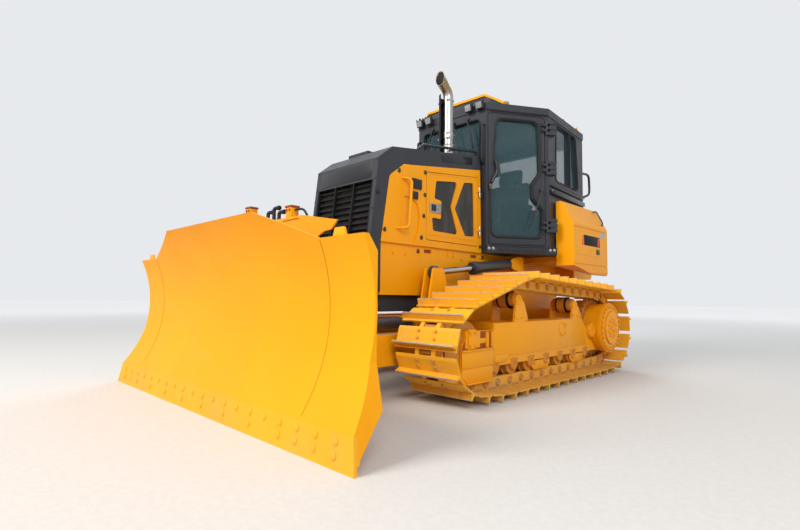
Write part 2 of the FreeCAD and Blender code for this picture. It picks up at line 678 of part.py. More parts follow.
def make_push_frame():
    """Push frame between the tracks: arms, cross beam, nose, mast, shield and cylinder ears."""
    beam_rear = S.cross_beam_front + S.cross_beam_depth
    pieces = []
    for side, sign in SIDES:
        across = sign * S.arm_middle
        pieces.append(side_plate("PushArm" + side, [
            (S.cross_beam_front, S.arm_bottom), (1750, S.arm_bottom),
            (S.push_pivot_station, S.push_pivot_height - S.pivot_eye_radius),
            (S.push_pivot_station, S.push_pivot_height + S.pivot_eye_radius),
            (1900, S.arm_top + 80), (1480, S.arm_top), (S.cross_beam_front, S.arm_top)],
            across, S.arm_width))
        pieces.append(bar("PushEye" + side, S.pivot_eye_radius, S.arm_width,
                          (across, S.push_pivot_station, S.push_pivot_height)))
        offset = S.eye_width / 2 + S.ear_gap + S.ear_thickness / 2
        for label, way in (("In", -1), ("Out", 1)):
            pieces.append(side_plate("LiftEar" + label + side, [
                (1610, S.arm_top + 20), (1990, S.arm_top + 45),
                (S.lift_eye_station + 65, S.lift_eye_height + 35, 30),
                (S.lift_eye_station - 65, S.lift_eye_height + 35, 30)],
                across + way * offset, S.ear_thickness))
        pieces.append(bar("LiftEyePin" + side, S.open_pin_radius, 2 * offset + S.ear_thickness,
                          (across, S.lift_eye_station, S.lift_eye_height)))
        web_front = S.angle_base_station + S.eye_radius + S.ear_gap
        ear_level = S.angle_height + offset
        ear_top = ear_level + S.ear_thickness / 2
        pieces.append(block("AngleWeb" + side, (100, 70, ear_top - S.arm_top),
                            (across, web_front + 35, (ear_top + S.arm_top) / 2)))
        pieces.append(block("AngleEar" + side, (100, S.eye_radius + S.ear_gap + 70, S.ear_thickness),
                            (across, S.angle_base_station + (S.eye_radius + S.ear_gap + 70) / 2, ear_level)))
        pieces.append(bar("AngleEarEnd" + side, 50, S.ear_thickness,
                          (across, S.angle_base_station, ear_level), "Z"))
        boss_top = S.angle_height - S.eye_width / 2 - S.ear_gap
        pieces.append(bar("AngleBoss" + side, S.eye_radius - 5, boss_top - S.arm_top + 5,
                          (across, S.angle_base_station, (boss_top + S.arm_top - 5) / 2), "Z"))
        pieces.append(bar("AngleBasePin" + side, S.eye_pin_radius, ear_top - S.arm_top,
                          (across, S.angle_base_station, (ear_top + S.arm_top) / 2), "Z"))
    arm_outer = S.arm_middle + S.arm_width / 2
    pieces.append(block("CrossBeam", (2 * arm_outer, S.cross_beam_depth, S.arm_top - S.arm_bottom),
                        (0, (S.cross_beam_front + beam_rear) / 2, (S.arm_top + S.arm_bottom) / 2)))
    level = S.swing_beam_bottom + S.swing_beam_height / 2
    eye = S.king_pin_radius + 38
    gap = (S.swing_beam_height - 40) / 2 + S.ear_gap
    for label, way in (("Low", -1), ("High", 1)):
        floor = level + way * gap - (38 if way < 0 else 0)
        pieces.append(plan_plate("PushNose" + label, [
            (-eye, S.king_pin_station), (eye, S.king_pin_station), (190, S.cross_beam_front + 10),
            (-190, S.cross_beam_front + 10)], floor, 38))
        pieces.append(bar("PushNoseEye" + label, eye, 38, (0, S.king_pin_station, floor + 19), "Z"))
    pieces.append(bar("KingPin", S.king_pin_radius, 2 * gap + 76, (0, S.king_pin_station, level), "Z"))
    pieces.append(side_plate("Mast", [
        (S.mast_front, level + gap), (beam_rear - 60, S.arm_top - 5), (S.mast_front + S.mast_depth, 900),
        (S.mast_front + S.mast_depth, S.mast_top), (S.mast_front, S.mast_top)], 0, S.mast_width))
    tip = S.mast_shield_half
    half = S.mast_width / 2
    right = [(half, S.mast_top - 375), (tip - 208, S.mast_top - 168), (tip - 145, S.mast_top - 142),
             (tip - 71, S.mast_top - 137), (tip, S.mast_top - 76), (tip - 418, S.mast_top)]
    shield = front_plate("MastShield", right + [(-across, up) for across, up in reversed(right)],
                         S.mast_front - 14, 14)
    window = [(60 - half, S.mast_top - 20, 8), (half + 70, S.mast_top - 16, 8), (half + 74, S.mast_top - 108, 8)]
    pieces.append(cut("MastShieldCut", shield, front_plate("MastWindow", window, S.mast_front - 20, 14)))
    for side, sign in SIDES:
        pieces.append(side_plate("MastGusset" + side, [
            (S.mast_front - 1, S.mast_top - 330), (S.mast_front - 1, S.mast_top - 12),
            (S.mast_front + S.mast_depth, S.mast_top - 40), (S.mast_front + S.mast_depth, S.mast_top - 200)],
            sign * (half + 95), 14))
    frame = fuse("PushFrameSolid", *pieces)
    bores = []
    for side, sign in SIDES:
        bores.append(bar("PushBore" + side, S.pivot_pin_radius + S.pin_clearance, S.arm_width + 4,
                         (sign * S.arm_middle, S.push_pivot_station, S.push_pivot_height)))
    keep(cut("PushFrame", frame, *bores), "push_frame")


def hydraulic(name, pin_along, base, axis, angle, length, reach, barrel_radius, rod_radius, spare, bored):
    """Barrel and rod of one cylinder, drawn from its rear pin along the local Z axis."""

    def local(kind, radius, low, high, across=None):
        item = doc.addObject("Part::Cylinder", name + kind)
        bind(item, "Radius", radius)
        span = Size.of(high) - Size.of(low)
        bind(item, "Height", span)
        if across is None:
            bind(item, "Placement.Base.z", low)
            return item
        item.Placement = Placement(Vector(0, 0, 0), Rotation(Vector(*TURNS[pin_along]), 90))
        bind(item, "Placement.Base." + pin_along.lower(), low)
        bind(item, "Placement.Base.z", across)
        return item

    mouth = length - reach
    wall = barrel_radius - rod_radius
    half = S.eye_width / 2
    tube = fuse(name + "Tube", local("Wall", barrel_radius, S.eye_radius - 1.5, mouth),
                local("Neck", half - 1, 30, S.eye_radius + 1),
                local("BaseEye", S.eye_radius, -half, half, 0))
    hollow = fuse(name + "Hollow",
                  local("Bore", rod_radius + wall * 0.6, S.eye_radius + 25, mouth - 45),
                  local("GlandBore", rod_radius + S.pin_clearance, mouth - 46, mouth + 1),
                  local("BasePinBore", S.eye_pin_radius + S.pin_clearance, -half - 1, half + 1, 0))
    barrel = cut(name + "Barrel", tube, hollow)
    shaft = fuse(name + "Shaft", local("Rod", rod_radius, mouth - spare, length - S.eye_radius * 0.8),
                 local("RodEye", S.eye_radius, -half, half, length))
    rod = shaft
    if bored:
        rod = cut(name + "RodBody", shaft, local("RodPinBore", S.open_bore_radius, -half - 1, half + 1, length))
    place(barrel, base, axis, angle)
    place(rod, base, axis, angle)
    return barrel, rod


def make_cylinders():
    """Two lift, two angle and one tilt cylinder, each a barrel and a rod."""
    run = S.lift_base_station - S.lift_eye_station
    drop = S.lift_base_height - S.lift_eye_height
    for side, sign in SIDES:
        barrel, rod = hydraulic(
            "Lift" + side, "X", (sign * S.arm_middle, S.lift_base_station, S.lift_base_height),
            (1, 0, 0), bearing(run, -drop), hypotenuse(run, drop), S.lift_gland_reach,
            S.lift_barrel_radius, S.lift_rod_radius, 190, True)
        keep(barrel, "lift_barrel_" + side)
        keep(rod, "lift_rod_" + side)
        barrel, rod = hydraulic(
            "Angle" + side, "Y", (sign * S.arm_middle, S.angle_base_station, S.angle_height),
            (1, 0, 0), Size.of(90), S.angle_base_station - S.king_pin_station, S.angle_gland_reach,
            S.angle_barrel_radius, S.angle_rod_radius, 250, False)
        keep(barrel, "angle_barrel_" + side)
        keep(rod, "angle_rod_" + side)
    across = S.tilt_eye_side - S.tilt_base_side
    fall = S.tilt_eye_height - S.tilt_base_height
    barrel, rod = hydraulic(
        "Tilt", "Y", (S.tilt_base_side, S.tilt_station, S.tilt_base_height), (0, 1, 0),
        bearing(across, fall), hypotenuse(across, fall), S.tilt_gland_reach,
        S.tilt_barrel_radius, S.tilt_rod_radius, 130, True)
    keep(barrel, "tilt_barrel")
    keep(rod, "tilt_rod")


def track_circles(pitch):
    """Circles through the chain's pins, in order round the track: station, height, radius.

    The ground run bends half a link beyond the end rollers, where no wheel touches it.
    """
    pin_line = S.rail_height.value / 2
    wheels = (
        (S.idler_station, S.idler_height, S.idler_radius),
        (S.carrier_front, S.carrier_front_height, S.carrier_radius),
        (S.carrier_rear, S.carrier_rear_height, S.carrier_radius),
        (S.sprocket_station, S.sprocket_height, S.sprocket_radius),
    )
    circles = [(a.value, b.value, math.hypot(c.value + pin_line, pitch / 2)) for a, b, c in wheels]
    ground = S.grouser_height.value + S.shoe_thickness.value + pin_line
    bend = S.roller_radius.value
    for station in (S.roller_last.value + pitch / 2, S.roller_first.value - pitch / 2):
        circles.append((station, ground + bend, bend))
    return circles


def belt_pins(circles, count):
    """Points at equal steps along a belt pulled round circles, front wheel's top first."""
    number = len(circles)
    straight = []
    for i in range(number):
        y0, z0, r0 = circles[i]
        y1, z1, r1 = circles[(i + 1) % number]
        run, rise = y1 - y0, z1 - z0
        span = math.hypot(run, rise)
        heading = math.atan2(rise, run)
        lean = math.asin((r0 - r1) / span)
        normal = heading + math.pi / 2 - lean
        out = Vector(0, math.cos(normal), math.sin(normal))
        straight.append((Vector(0, y0, z0) + out * r0, Vector(0, y1, z1) + out * r1, normal))
    parts = []
    for i in range(number):
        start, end, normal = straight[i]
        parts.append(("line", start, end, (end - start).Length))
        following = straight[(i + 1) % number]
        y1, z1, r1 = circles[(i + 1) % number]
        sweep = (normal - following[2]) % (2 * math.pi)
        if sweep > math.pi * 1.5:
            sweep = 0.0
        parts.append(("arc", (Vector(0, y1, z1), r1, normal), sweep, r1 * sweep))
    total = sum(part[3] for part in parts)
    points = []
    for k in range(count):
        along = total * k / count
        for part in parts:
            if along <= part[3] or part is parts[-1]:
                break
            along -= part[3]
        if part[0] == "line":
            points.append(part[1] + (part[2] - part[1]) * (along / part[3]))
        else:
            centre, radius, normal = part[1]
            angle = normal - along / radius
            points.append(centre + Vector(0, math.cos(angle), math.sin(angle)) * radius)
    return points, total


def link_corners(start, end, profile):
    """Places of a profile of (share of pitch, offset, height) on the link between two pins."""
    chord = end - start
    ahead = Vector(chord).normalize()
    outward = Vector(0, -ahead.z, ahead.y)
    return [start + chord * share + ahead * offset + outward * height
            for share, offset, height in profile]


def belt_ring(points, profile):
    """Closed polygon that repeats a link profile along the belt."""
    corners = []
    for i, start in enumerate(points):
        corners += link_corners(start, points[(i + 1) % len(points)], profile)
    corners.append(corners[0])
    return Part.Wire(Part.makePolygon(corners).Edges)


def make_tracks():
    """Each track is one loop: separate toothed shoes on the two closed sides of the chain."""
    count = int(S.shoe_count.value)
    total = belt_pins(track_circles(0), count)[1]
    points, total = belt_pins(track_circles(total / count), count)
    print("track pitch %.1f mm" % (total / count))
    half_rail = S.rail_height.value / 2
    plate_top = half_rail + S.shoe_thickness.value
    tip = plate_top + S.grouser_height.value
    root, edge = S.grouser_root.value / 2, S.grouser_tip.value / 2
    front, rear = 0.03, 0.97
    shoe = [(front, 0, half_rail), (front, 0, plate_top), (0.22, -root, plate_top), (0.22, -edge, tip),
            (0.22, edge, tip), (0.22, root, plate_top), (0.84, 0, plate_top),
            (rear, 0, half_rail + S.shoe_lip.value), (rear, 0, half_rail)]
    rail = [(0.0, 0, -half_rail)]
    rail_top = [(front, 0, half_rail), (rear, 0, half_rail)]

    def drawn_out(face, width, middle):
        shape = face.extrude(Vector(width, 0, 0))
        shape.translate(Vector(middle - width / 2, 0, 0))
        return shape

    centre = S.track_gauge.value / 2
    chain = Part.makeFace([belt_ring(points, rail_top), belt_ring(points, rail)],
                          "Part::FaceMakerBullseye")
    rails = [drawn_out(chain, S.rail_thickness.value, centre + way * S.rail_spacing.value / 2)
             for way in (-1, 1)]
    shoes = []
    for i, start in enumerate(points):
        corners = link_corners(start, points[(i + 1) % count], shoe)
        corners.append(corners[0])
        shoes.append(drawn_out(Part.Face(Part.makePolygon(corners)), S.shoe_width.value, centre))
    shape = rails[0].multiFuse([rails[1]] + shoes)
    left = keep(solid("TrackLeft", shape), "track_left")
    keep(mirrored("TrackRight", left), "track_right")


def roller(name, radius, station, height, shaft):
    """A double-flanged roller with its shaft, on the left track."""
    middle = S.track_gauge / 2
    tread = S.rail_spacing + S.rail_thickness + 10
    body = bar(name + "Tread", radius - 0.5, tread, (middle, station, height))
    flange = bar(name + "Flange", radius + 14, S.rail_spacing - S.rail_thickness - 12,
                 (middle, station, height))
    axle = bar(name + "Axle", 24, shaft, (middle, station, height))
    return fuse(name, body, flange, axle)


def make_running_gear():
    """Rollers, idlers and sprockets with their hubs on both sides."""
    ground = S.grouser_height + S.shoe_thickness + S.rail_height
    inner_width = S.frame_width - 2 * S.frame_wall
    count = int(S.roller_count.value)
    rollers = []
    for i in range(count):
        station = S.roller_first + (S.roller_last - S.roller_first) * (i / (count - 1))
        rollers.append(roller("Roller%d" % i, S.roller_radius, station, ground + S.roller_radius,
                              inner_width))
    left = group("RollersLeft", *rollers)
    keep(left, "track_rollers_left")
    keep(mirrored("RollersRight", left), "track_rollers_right")
    tops = []
    for label, station, height in (("Front", S.carrier_front, S.carrier_front_height),
                                   ("Rear", S.carrier_rear, S.carrier_rear_height)):
        tops.append(roller("Carrier" + label, S.carrier_radius, station, height, inner_width))
    carriers = group("CarriersLeft", *tops)
    keep(group("Carriers", carriers, mirrored("CarriersRight", carriers)), "carrier_rollers")
    idler = roller("Idler", S.idler_radius, S.idler_station, S.idler_height, inner_width)
    keep(group("Idlers", idler, mirrored("IdlerRight", idler)), "idlers")
    keep(group("Sprockets", sprocket("SprocketLeft", 1), sprocket("SprocketRight", -1)), "sprockets")


def sprocket(name, sign):
    """Toothed drive wheel between the chain's two sides."""
    teeth = 23
    tip = S.sprocket_radius.value + S.rail_height.value / 2 - 8
    root = S.sprocket_radius.value - 4
    corners = []
    for i in range(teeth):
        for share, reach in ((-0.27, root), (-0.1, tip), (0.1, tip), (0.27, root)):
            angle = 2 * math.pi * (i + share) / teeth
            corners.append(Vector(0, reach * math.cos(angle), reach * math.sin(angle)))
    corners.append(corners[0])
    width = 44
    wheel = Part.Face(Part.makePolygon(corners)).extrude(Vector(width, 0, 0))
    middle = sign * S.track_gauge.value / 2
    wheel.translate(Vector(middle - width / 2, S.sprocket_station.value, S.sprocket_height.value))
    hole = Part.makeCylinder(S.axle_tube_radius.value - 20, width + 2,
                             Vector(middle - width / 2 - 1, S.sprocket_station.value,
                                    S.sprocket_height.value), Vector(1, 0, 0))
    return solid(name, wheel.cut(hole))


def make_track_frames():
    """Inverted channel that carries rollers, idler and guards, one on each side."""
    middle = S.track_gauge / 2
    outer = side_plate("FrameOuter", [
        (S.guard_front, S.guard_bottom, 60), (S.frame_front - 20, S.guard_bottom),
        (S.frame_front, S.frame_bottom), (S.frame_rear, S.frame_bottom),
        (S.frame_rear_top, S.frame_top), (S.frame_front, S.frame_top),
        (S.frame_front, S.guard_top + 90), (S.guard_front + 160, S.guard_top + 90),
        (S.guard_front + 20, S.guard_top)], middle, S.frame_width)
    inner_width = S.frame_width - 2 * S.frame_wall
    hollow_front = block("FrameHollowFront", (inner_width, 1400, 1000),
                         (middle, S.frame_front - 700, 400))
    hollow = block("FrameHollow", (inner_width, 3000, 1000),
                   (middle, S.frame_front + 1499, S.frame_bottom + 135 - 500))
    wheel_room = S.sprocket_radius + S.rail_height / 2 + 30
    fork = block("FrameFork", (inner_width, 1000, 1000),
                 (middle, S.sprocket_station - wheel_room + 500, 400))
    shell = cut("FrameShell", outer, hollow_front, hollow, fork)
    pieces = [shell]
    for label, station, height in (("Front", S.carrier_front, S.carrier_front_height),
                                   ("Rear", S.carrier_rear, S.carrier_rear_height)):
        for way in (-1, 1):
            across = middle + way * (inner_width / 2 + 10)
            pieces.append(side_plate("CarrierPost%s%s" % (label, "In" if way < 0 else "Out"), [
                (station - 70, S.frame_top - 5), (station + 70, S.frame_top - 5),
                (station + 32, height + 35), (station - 32, height + 35)], across, 20))
    left = fuse("TrackFrameLeft", *pieces)
    keep(left, "track_frame_left")
    keep(mirrored("TrackFrameRight", left), "track_frame_right")
    flange_face = S.final_drive_face - S.final_drive_step
    drum = bar("FinalDriveDrum", S.final_drive_radius - 12, flange_face - (middle + 30),
               ((flange_face + middle + 30) / 2, S.sprocket_station, S.sprocket_height))
    flange = bar("FinalDriveFlange", S.final_drive_radius, 34,
                 (flange_face - 17 - 8, S.sprocket_station, S.sprocket_height))
    boss = bar("FinalDriveBoss", S.final_drive_hub_radius, 60,
               (S.final_drive_face - 30, S.sprocket_station, S.sprocket_height))
    hub = bar("FinalDriveHub", S.axle_tube_radius - 20.3, S.final_drive_face - 830,
              ((S.final_drive_face + 830) / 2, S.sprocket_station, S.sprocket_height))
    left_drive = fuse("FinalDriveLeft", drum, flange, boss, hub)
    keep(group("FinalDrives", left_drive, mirrored("FinalDriveRight", left_drive)), "final_drives")


def make_chassis():
    """Chassis with its engine bay, axle housing, cross tubes, pivot pins and lift brackets."""
    hull = side_plate("Hull", [
        (S.hull_front, S.hull_bottom), (S.case_front - 160, S.hull_bottom),
        (S.case_front, S.case_bottom, 80), (S.hull_rear - 120, S.case_bottom, 80),
        (S.hull_rear, S.case_bottom + 200), (S.hull_rear, S.hull_top), (S.hull_front, S.hull_top)],
        0, S.hull_width)
    bay_width = S.hull_width - 2 * S.bay_wall
    bay_run = S.case_front - 60 - S.hull_front
    bay = block("EngineBay", (bay_width, bay_run, S.hull_top), (0, S.hull_front + 30 + bay_run / 2,
                S.hull_bottom + 30 + S.hull_top / 2))
    slots = []
    for side, sign in SIDES:
        for label, station in (("Front", 1850), ("Rear", 2530)):
            slots.append(block("SideSlot%s%s" % (label, side), (30, 100, 32),
                               (sign * S.hull_width / 2, station, S.hull_top - 40)))
    solids = [cut("HullBay", hull, bay, *slots)]
    frame_inner = S.track_gauge / 2 - S.frame_width / 2
    solids.append(bar("AxleHousing", S.axle_tube_radius, 2 * (frame_inner + 10),
                      (0, S.sprocket_station, S.sprocket_height)))
    for label, station in (("Front", S.cross_tube_front), ("Rear", S.cross_tube_rear)):
        solids.append(bar("CrossTube" + label, S.cross_tube_radius, 2 * frame_inner,
                          (0, station, S.cross_tube_height)))
    arm_inner = S.arm_middle - S.arm_width / 2
    half = S.hull_width / 2
    shelf_bottom = S.hull_top - 60
    for side, sign in SIDES:
        reach = arm_inner - 6 - half + 20
        solids.append(bar("PivotBoss" + side, S.pivot_eye_radius + 10, reach,
                          (sign * (half - 20 + reach / 2), S.push_pivot_station, S.push_pivot_height)))
        pin = S.arm_middle + S.arm_width / 2 + 4 - half + 20
        solids.append(bar("PivotPin" + side, S.pivot_pin_radius, pin,
                          (sign * (half - 20 + pin / 2), S.push_pivot_station, S.push_pivot_height)))
        solids.append(side_plate("PivotCheek" + side, [
            (S.push_pivot_station - 115, S.push_pivot_height), (S.push_pivot_station + 115, S.push_pivot_height),
            (S.push_pivot_station + 300, S.hull_bottom + 40), (S.push_pivot_station - 200, S.hull_bottom + 40)],
            sign * (half - 20), 40))
        lug = S.eye_width + 2 * S.ear_gap + 2 * S.ear_thickness
        back = S.lift_base_station + S.eye_radius + S.ear_gap
        lug_outer = S.arm_middle + lug / 2
        solids.append(block("LiftBracket" + side, (lug_outer - half + 10, 110, 150),
                            (sign * (lug_outer + half - 10) / 2, back + 55, S.lift_base_height)))
        offset = S.eye_width / 2 + S.ear_gap + S.ear_thickness / 2
        for label, way in (("In", -1), ("Out", 1)):
            solids.append(side_plate("LiftCheek" + label + side, [
                (back + 40, S.lift_base_height - 75), (back + 40, S.lift_base_height + 75),
                (S.lift_base_station - 50, S.lift_base_height + 50, 40),
                (S.lift_base_station - 50, S.lift_base_height - 50, 40)],
                sign * S.arm_middle + way * offset, S.ear_thickness))
        solids.append(bar("LiftBasePin" + side, S.eye_pin_radius, lug,
                          (sign * S.arm_middle, S.lift_base_station, S.lift_base_height)))
        inner = half - 10
        solids.append(plan_plate("CabShelf" + side, [
            (sign * inner, 3420), (sign * beside_cab(3420), 3420),
            (sign * beside_cab(S.hull_rear), S.hull_rear), (sign * inner, S.hull_rear)],
            shelf_bottom, 60))
    keep(fuse("Chassis", *solids), "chassis")
    guard = side_plate("BellyGuard", [
        (S.hull_front, S.hull_bottom), (S.hull_front + 60, S.belly_bottom),
        (S.case_front - 130, S.belly_bottom), (S.case_front - 165, S.hull_bottom)],
        0, S.hull_width - 100)
    keep(guard, "belly_guard")
    rear = S.hull_rear + S.drawbar_reach
    hitch = side_plate("HitchSide", [
        (S.hull_rear, 600), (S.hull_rear + 150, 380), (rear, 380),
        (rear, 560), (rear - 150, 560), (S.hull_rear, 700)], 0, 120)
    slot = block("HitchSlot", (300, 160, 60), (0, rear - 60, 470))
    hole = bar("HitchPin", S.hitch_pin_radius, 400, (0, rear - 70, 470), "Z")
    foot = block("HitchFoot", (300, 40, 320), (0, S.hull_rear + 20, 760))
    web = side_plate("HitchWeb", [(S.hull_rear, 650), (S.hull_rear + 200, 640), (S.hull_rear, 900)], 0, 60)
    keep(cut("Drawbar", fuse("DrawbarBody", hitch, foot, web), slot, hole), "drawbar")


def beside_cab(station):
    """Inner face of a fender box from the centre line, a little outside the cab's slanting wall."""
    lean = (S.cab_corner_half - S.cab_rear_half) / (S.cab_rear - S.cab_corner)
    return S.cab_corner_half + 18 - lean * (Size.of(station) - S.cab_corner)


def make_power():
    """Engine and radiator as plain blocks at their real place and size."""
    keep(block("Engine", (520, 820, 880), (0, 2130, S.hull_bottom + 30 + 440)), "engine")
    keep(block("Radiator", (680, 110, 900), (0, 1400, S.hull_bottom + 30 + 450)), "radiator")


def hood_top_at(station):
    """Height of the hood's top edge at a station behind the crest."""
    slope = (S.hood_rear_height - S.hood_crest_height) / (S.hood_rear - S.hood_crest)
    return S.hood_crest_height + slope * (Size.of(station) - S.hood_crest)


def make_hood():
    """Nose with its grille, hinged top lid, dark cover, yellow side panels and their doors."""
    band = S.hood_band
    split_top = hood_top_at(S.hood_split)
    nose_shape = [
        (S.nose_foot, S.nose_foot_height), (S.nose_brow, S.nose_brow_height),
        (S.hood_crest, S.hood_crest_height), (S.hood_split, split_top),
        (S.hood_split, split_top - band), (1518, split_top - band - 10), (1352, 1748, 60),
        (1262, S.hull_top + 8), (1262, S.nose_foot_height)]
    nose = side_plate("NoseOuter", nose_shape, 0, S.hood_width)
    wall = S.hood_wall
    inside = side_plate("NoseInside", [
        (S.nose_foot + 50, S.nose_foot_height - 10), (S.nose_brow + 48, S.nose_brow_height - 10),
        (S.hood_crest + 8, S.hood_crest_height - wall), (S.hood_split + 10, split_top - wall),
        (S.hood_split + 10, S.nose_foot_height - 10)], 0, S.hood_width - 2 * wall)
    lean = bearing(S.nose_brow - S.nose_foot, S.nose_brow_height - S.nose_foot_height)
    opening = front_plate("GrilleOpening", [
        (-S.grille_width / 2, S.grille_bottom), (S.grille_width / 2, S.grille_bottom),
        (S.grille_width / 2, S.grille_top), (-S.grille_width / 2, S.grille_top)],
        S.nose_foot - 100, 400)
    lid_room = block("LidRoom", (S.lid_width + 2 * S.panel_gap, S.lid_length + 2 * S.panel_gap, 200),
                     (S.lid_side, S.lid_station, S.hood_crest_height))
    top = hood_top_at(S.lid_station)
    posts = []
    for side, sign in SIDES:
        across = S.lid_side + sign * (S.lid_width * 0.3 + S.seat_gap + 12)
        station = S.lid_station + S.lid_length / 2 + 10
        posts.append(bar("LidPin" + side, 9, 24, (across, station, top + 26)))
        posts.append(block("LidPost" + side, (24, 16, 50), (across, station + 8, top + 6)))
    keep(fuse("NoseWithPosts", cut("Nose", nose, inside, opening, lid_room), *posts), "nose")
    lid = block("Lid", (S.lid_width, S.lid_length, wall + 14), (S.lid_side, S.lid_station, top + 4))
    hinge = S.lid_station + S.lid_length / 2 + 10
    knuckle_width = S.lid_width * 0.6
    knuckle = bar("LidKnuckle", 9, knuckle_width, (S.lid_side, hinge, top + 26))
    strap = block("LidStrap", (knuckle_width, 30, 10), (S.lid_side, hinge - 15, top + 25))
    keep(fuse("RadiatorLid", lid, knuckle, strap), "radiator_lid")

    slats = []
    count = int(S.louvre_count.value)
    rise = (S.grille_top - S.grille_bottom) / count
    slope = (S.nose_brow - S.nose_foot) / (S.nose_brow_height - S.nose_foot_height)
    grille_inner = S.grille_width - 0.6
    for i in range(count):
        height = S.grille_bottom + rise * (i + 0.5)
        station = S.nose_foot + slope * (height - S.nose_foot_height) + 16
        slats.append(side_plate("Slat%d" % i, [
            (station, height - 16), (station + 4, height - 19), (station + 30, height + 13),
            (station + 26, height + 16)], 0, grille_inner))
    for side, sign in (("Left", 1), ("Right", -1)):
        bar_side = sign * S.grille_width / 6
        edge_side = sign * (S.grille_width / 2 - 8.3)
        for label, across, width in (("Bar", bar_side, 12), ("Edge", edge_side, 16)):
            slats.append(side_plate("Grille" + label + side, [
                (grille_face(S.grille_bottom + 0.3) + 2, S.grille_bottom + 0.3),
                (grille_face(S.grille_bottom + 0.3) + 40, S.grille_bottom + 0.3),
                (grille_face(S.grille_top - 0.3) + 40, S.grille_top - 0.3),
                (grille_face(S.grille_top - 0.3) + 2, S.grille_top - 0.3)], across, width))
    keep(fuse("Grille", *slats), "grille")

    cover = side_plate("CoverOuter", [
        (S.hood_split, split_top - band), (S.hood_rear, S.hood_rear_height - band),
        (S.hood_rear, S.hood_rear_height), (S.hood_split, split_top)], 0, S.hood_width)
    cover_room = side_plate("CoverRoom", [
        (S.hood_split - 5, split_top - band - 20), (S.hood_rear + 5, S.hood_rear_height - band - 20),
        (S.hood_rear + 5, S.hood_rear_height - wall), (S.hood_split - 5, split_top - wall)],
        0, S.hood_width - 2 * wall)
    stack_hole = bar("StackHole", S.stack_foot_radius + S.seat_gap, 400,
                     (S.stack_side, S.stack_station, hood_top_at(S.stack_station)), "Z")
    cover = keep(cut("Cover", cover, cover_room, stack_hole), "hood_cover")

    middle = S.hood_width / 2 - wall / 2
    panel = side_plate("PanelOuter", [
        (1262, S.hull_top), (1262, S.hull_top + 8), (1352, 1748, 60), (1518, split_top - band - 10),
        (S.hood_split, split_top - band), (S.hood_rear, S.hood_rear_height - band), (2630, S.hull_top)],
        middle, wall)
    doorway = side_plate("DoorRoom", engine_door_outline(0), middle, wall + 4)
    recess = side_plate("GripRecess", [
        (1470, 1296, 10), (1648, 1214, 20), (1700, 1330, 60), (1722, 1450, 60), (1690, 1560, 40),
        (1620, 1606, 20), (1520, 1606, 20)], S.hood_width / 2, 2 * S.recess_depth)
    left_panel = cut("PanelLeft", panel, doorway, recess)
    grip = tube("Grip", [(S.hood_width / 2 - 5, 1495, 1753), (S.hood_width / 2 + 55, 1560, 1745),
                         (S.hood_width / 2 + 55, 1530, 1330), (S.hood_width / 2 - 5, 1431, 1324)], 12, 45)
    hinge_side, hinge_station = S.hood_width / 2 + 10, S.engine_door_rear + 12
    fixed, swinging = [], []
    for low in ENGINE_HINGES:
        fixed.append(bar("EngineHinge%d" % low, 10, 50, (hinge_side, hinge_station, low + 25), "Z"))
        fixed.append(block("EngineHingeFoot%d" % low, (12, 24, 50),
                           (hinge_side - 4, hinge_station + 12, low + 25)))
        high = low + 50 + S.seat_gap
        swinging.append(bar("EngineDoorHinge%d" % low, 10, 50, (hinge_side, hinge_station, high + 25), "Z"))
        swinging.append(block("EngineDoorStrap%d" % low, (6, 40, 50),
                              (hinge_side - 3, hinge_station - 20, high + 25)))
        swinging.append(block("EngineDoorPad%d" % low, (12, 16, 50),
                              (hinge_side - 6, hinge_station - 32, high + 25)))
    left_panel = fuse("PanelLeftGrip", left_panel, grip, *fixed)
    keep(left_panel, "side_panel_left")
    keep(mirrored("PanelRight", left_panel), "side_panel_right")
    leaf = side_plate("EngineDoorLeaf", engine_door_outline(S.panel_gap), middle, wall)
    windows = []
    for label, corners in (("Front", ENGINE_WINDOW_FRONT), ("Rear", ENGINE_WINDOW_REAR)):
        windows.append(side_plate("EngineWindow" + label, corners, middle, wall + 4))
    outer = S.hood_width / 2
    front, rear = S.engine_door_front + 22, S.engine_door_rear - 22
    fold_top, fold_low = S.engine_door_top - 14, S.engine_door_bottom + 44
    folds = [side_plate("DoorFoldTop", [
        (front, fold_top - 7), (rear, fold_top + 67), (rear, fold_top + 74), (front, fold_top)],
        outer, 2 * S.fold_depth)]
    folds.append(side_plate("DoorFoldLow", [
        (front, fold_low), (rear, fold_low), (rear, fold_low + 7), (front, fold_low + 7)],
        outer, 2 * S.fold_depth))
    left_door = fuse("EngineDoorSolid", cut("EngineDoorCut", leaf, *windows, *folds), *swinging)
    keep(left_door, "engine_door_left")
    keep(mirrored("EngineDoorRight", left_door), "engine_door_right")
    meshes = []
    for label, corners in (("Front", ENGINE_WINDOW_FRONT), ("Rear", ENGINE_WINDOW_REAR)):
        meshes.append(side_plate("EngineMesh" + label, corners, middle, 6))
    left_mesh = keep(group("EngineMeshLeft", *meshes), "engine_mesh_left")
    keep(mirrored("EngineMeshRight", left_mesh), "engine_mesh_right")

    rail_side = S.hood_width / 2 - 15
    rail = tube("HoodRailTube", [
        (rail_side, 1700, hood_top_at(1700) - 1), (rail_side, 1780, hood_top_at(1780) + 48),
        (rail_side, 2565, hood_top_at(2565) + 46), (rail_side, 2571, hood_top_at(2571) - 1)], 13, 28)
    keep(cut("HoodRail", rail, cover), "hood_handrail")

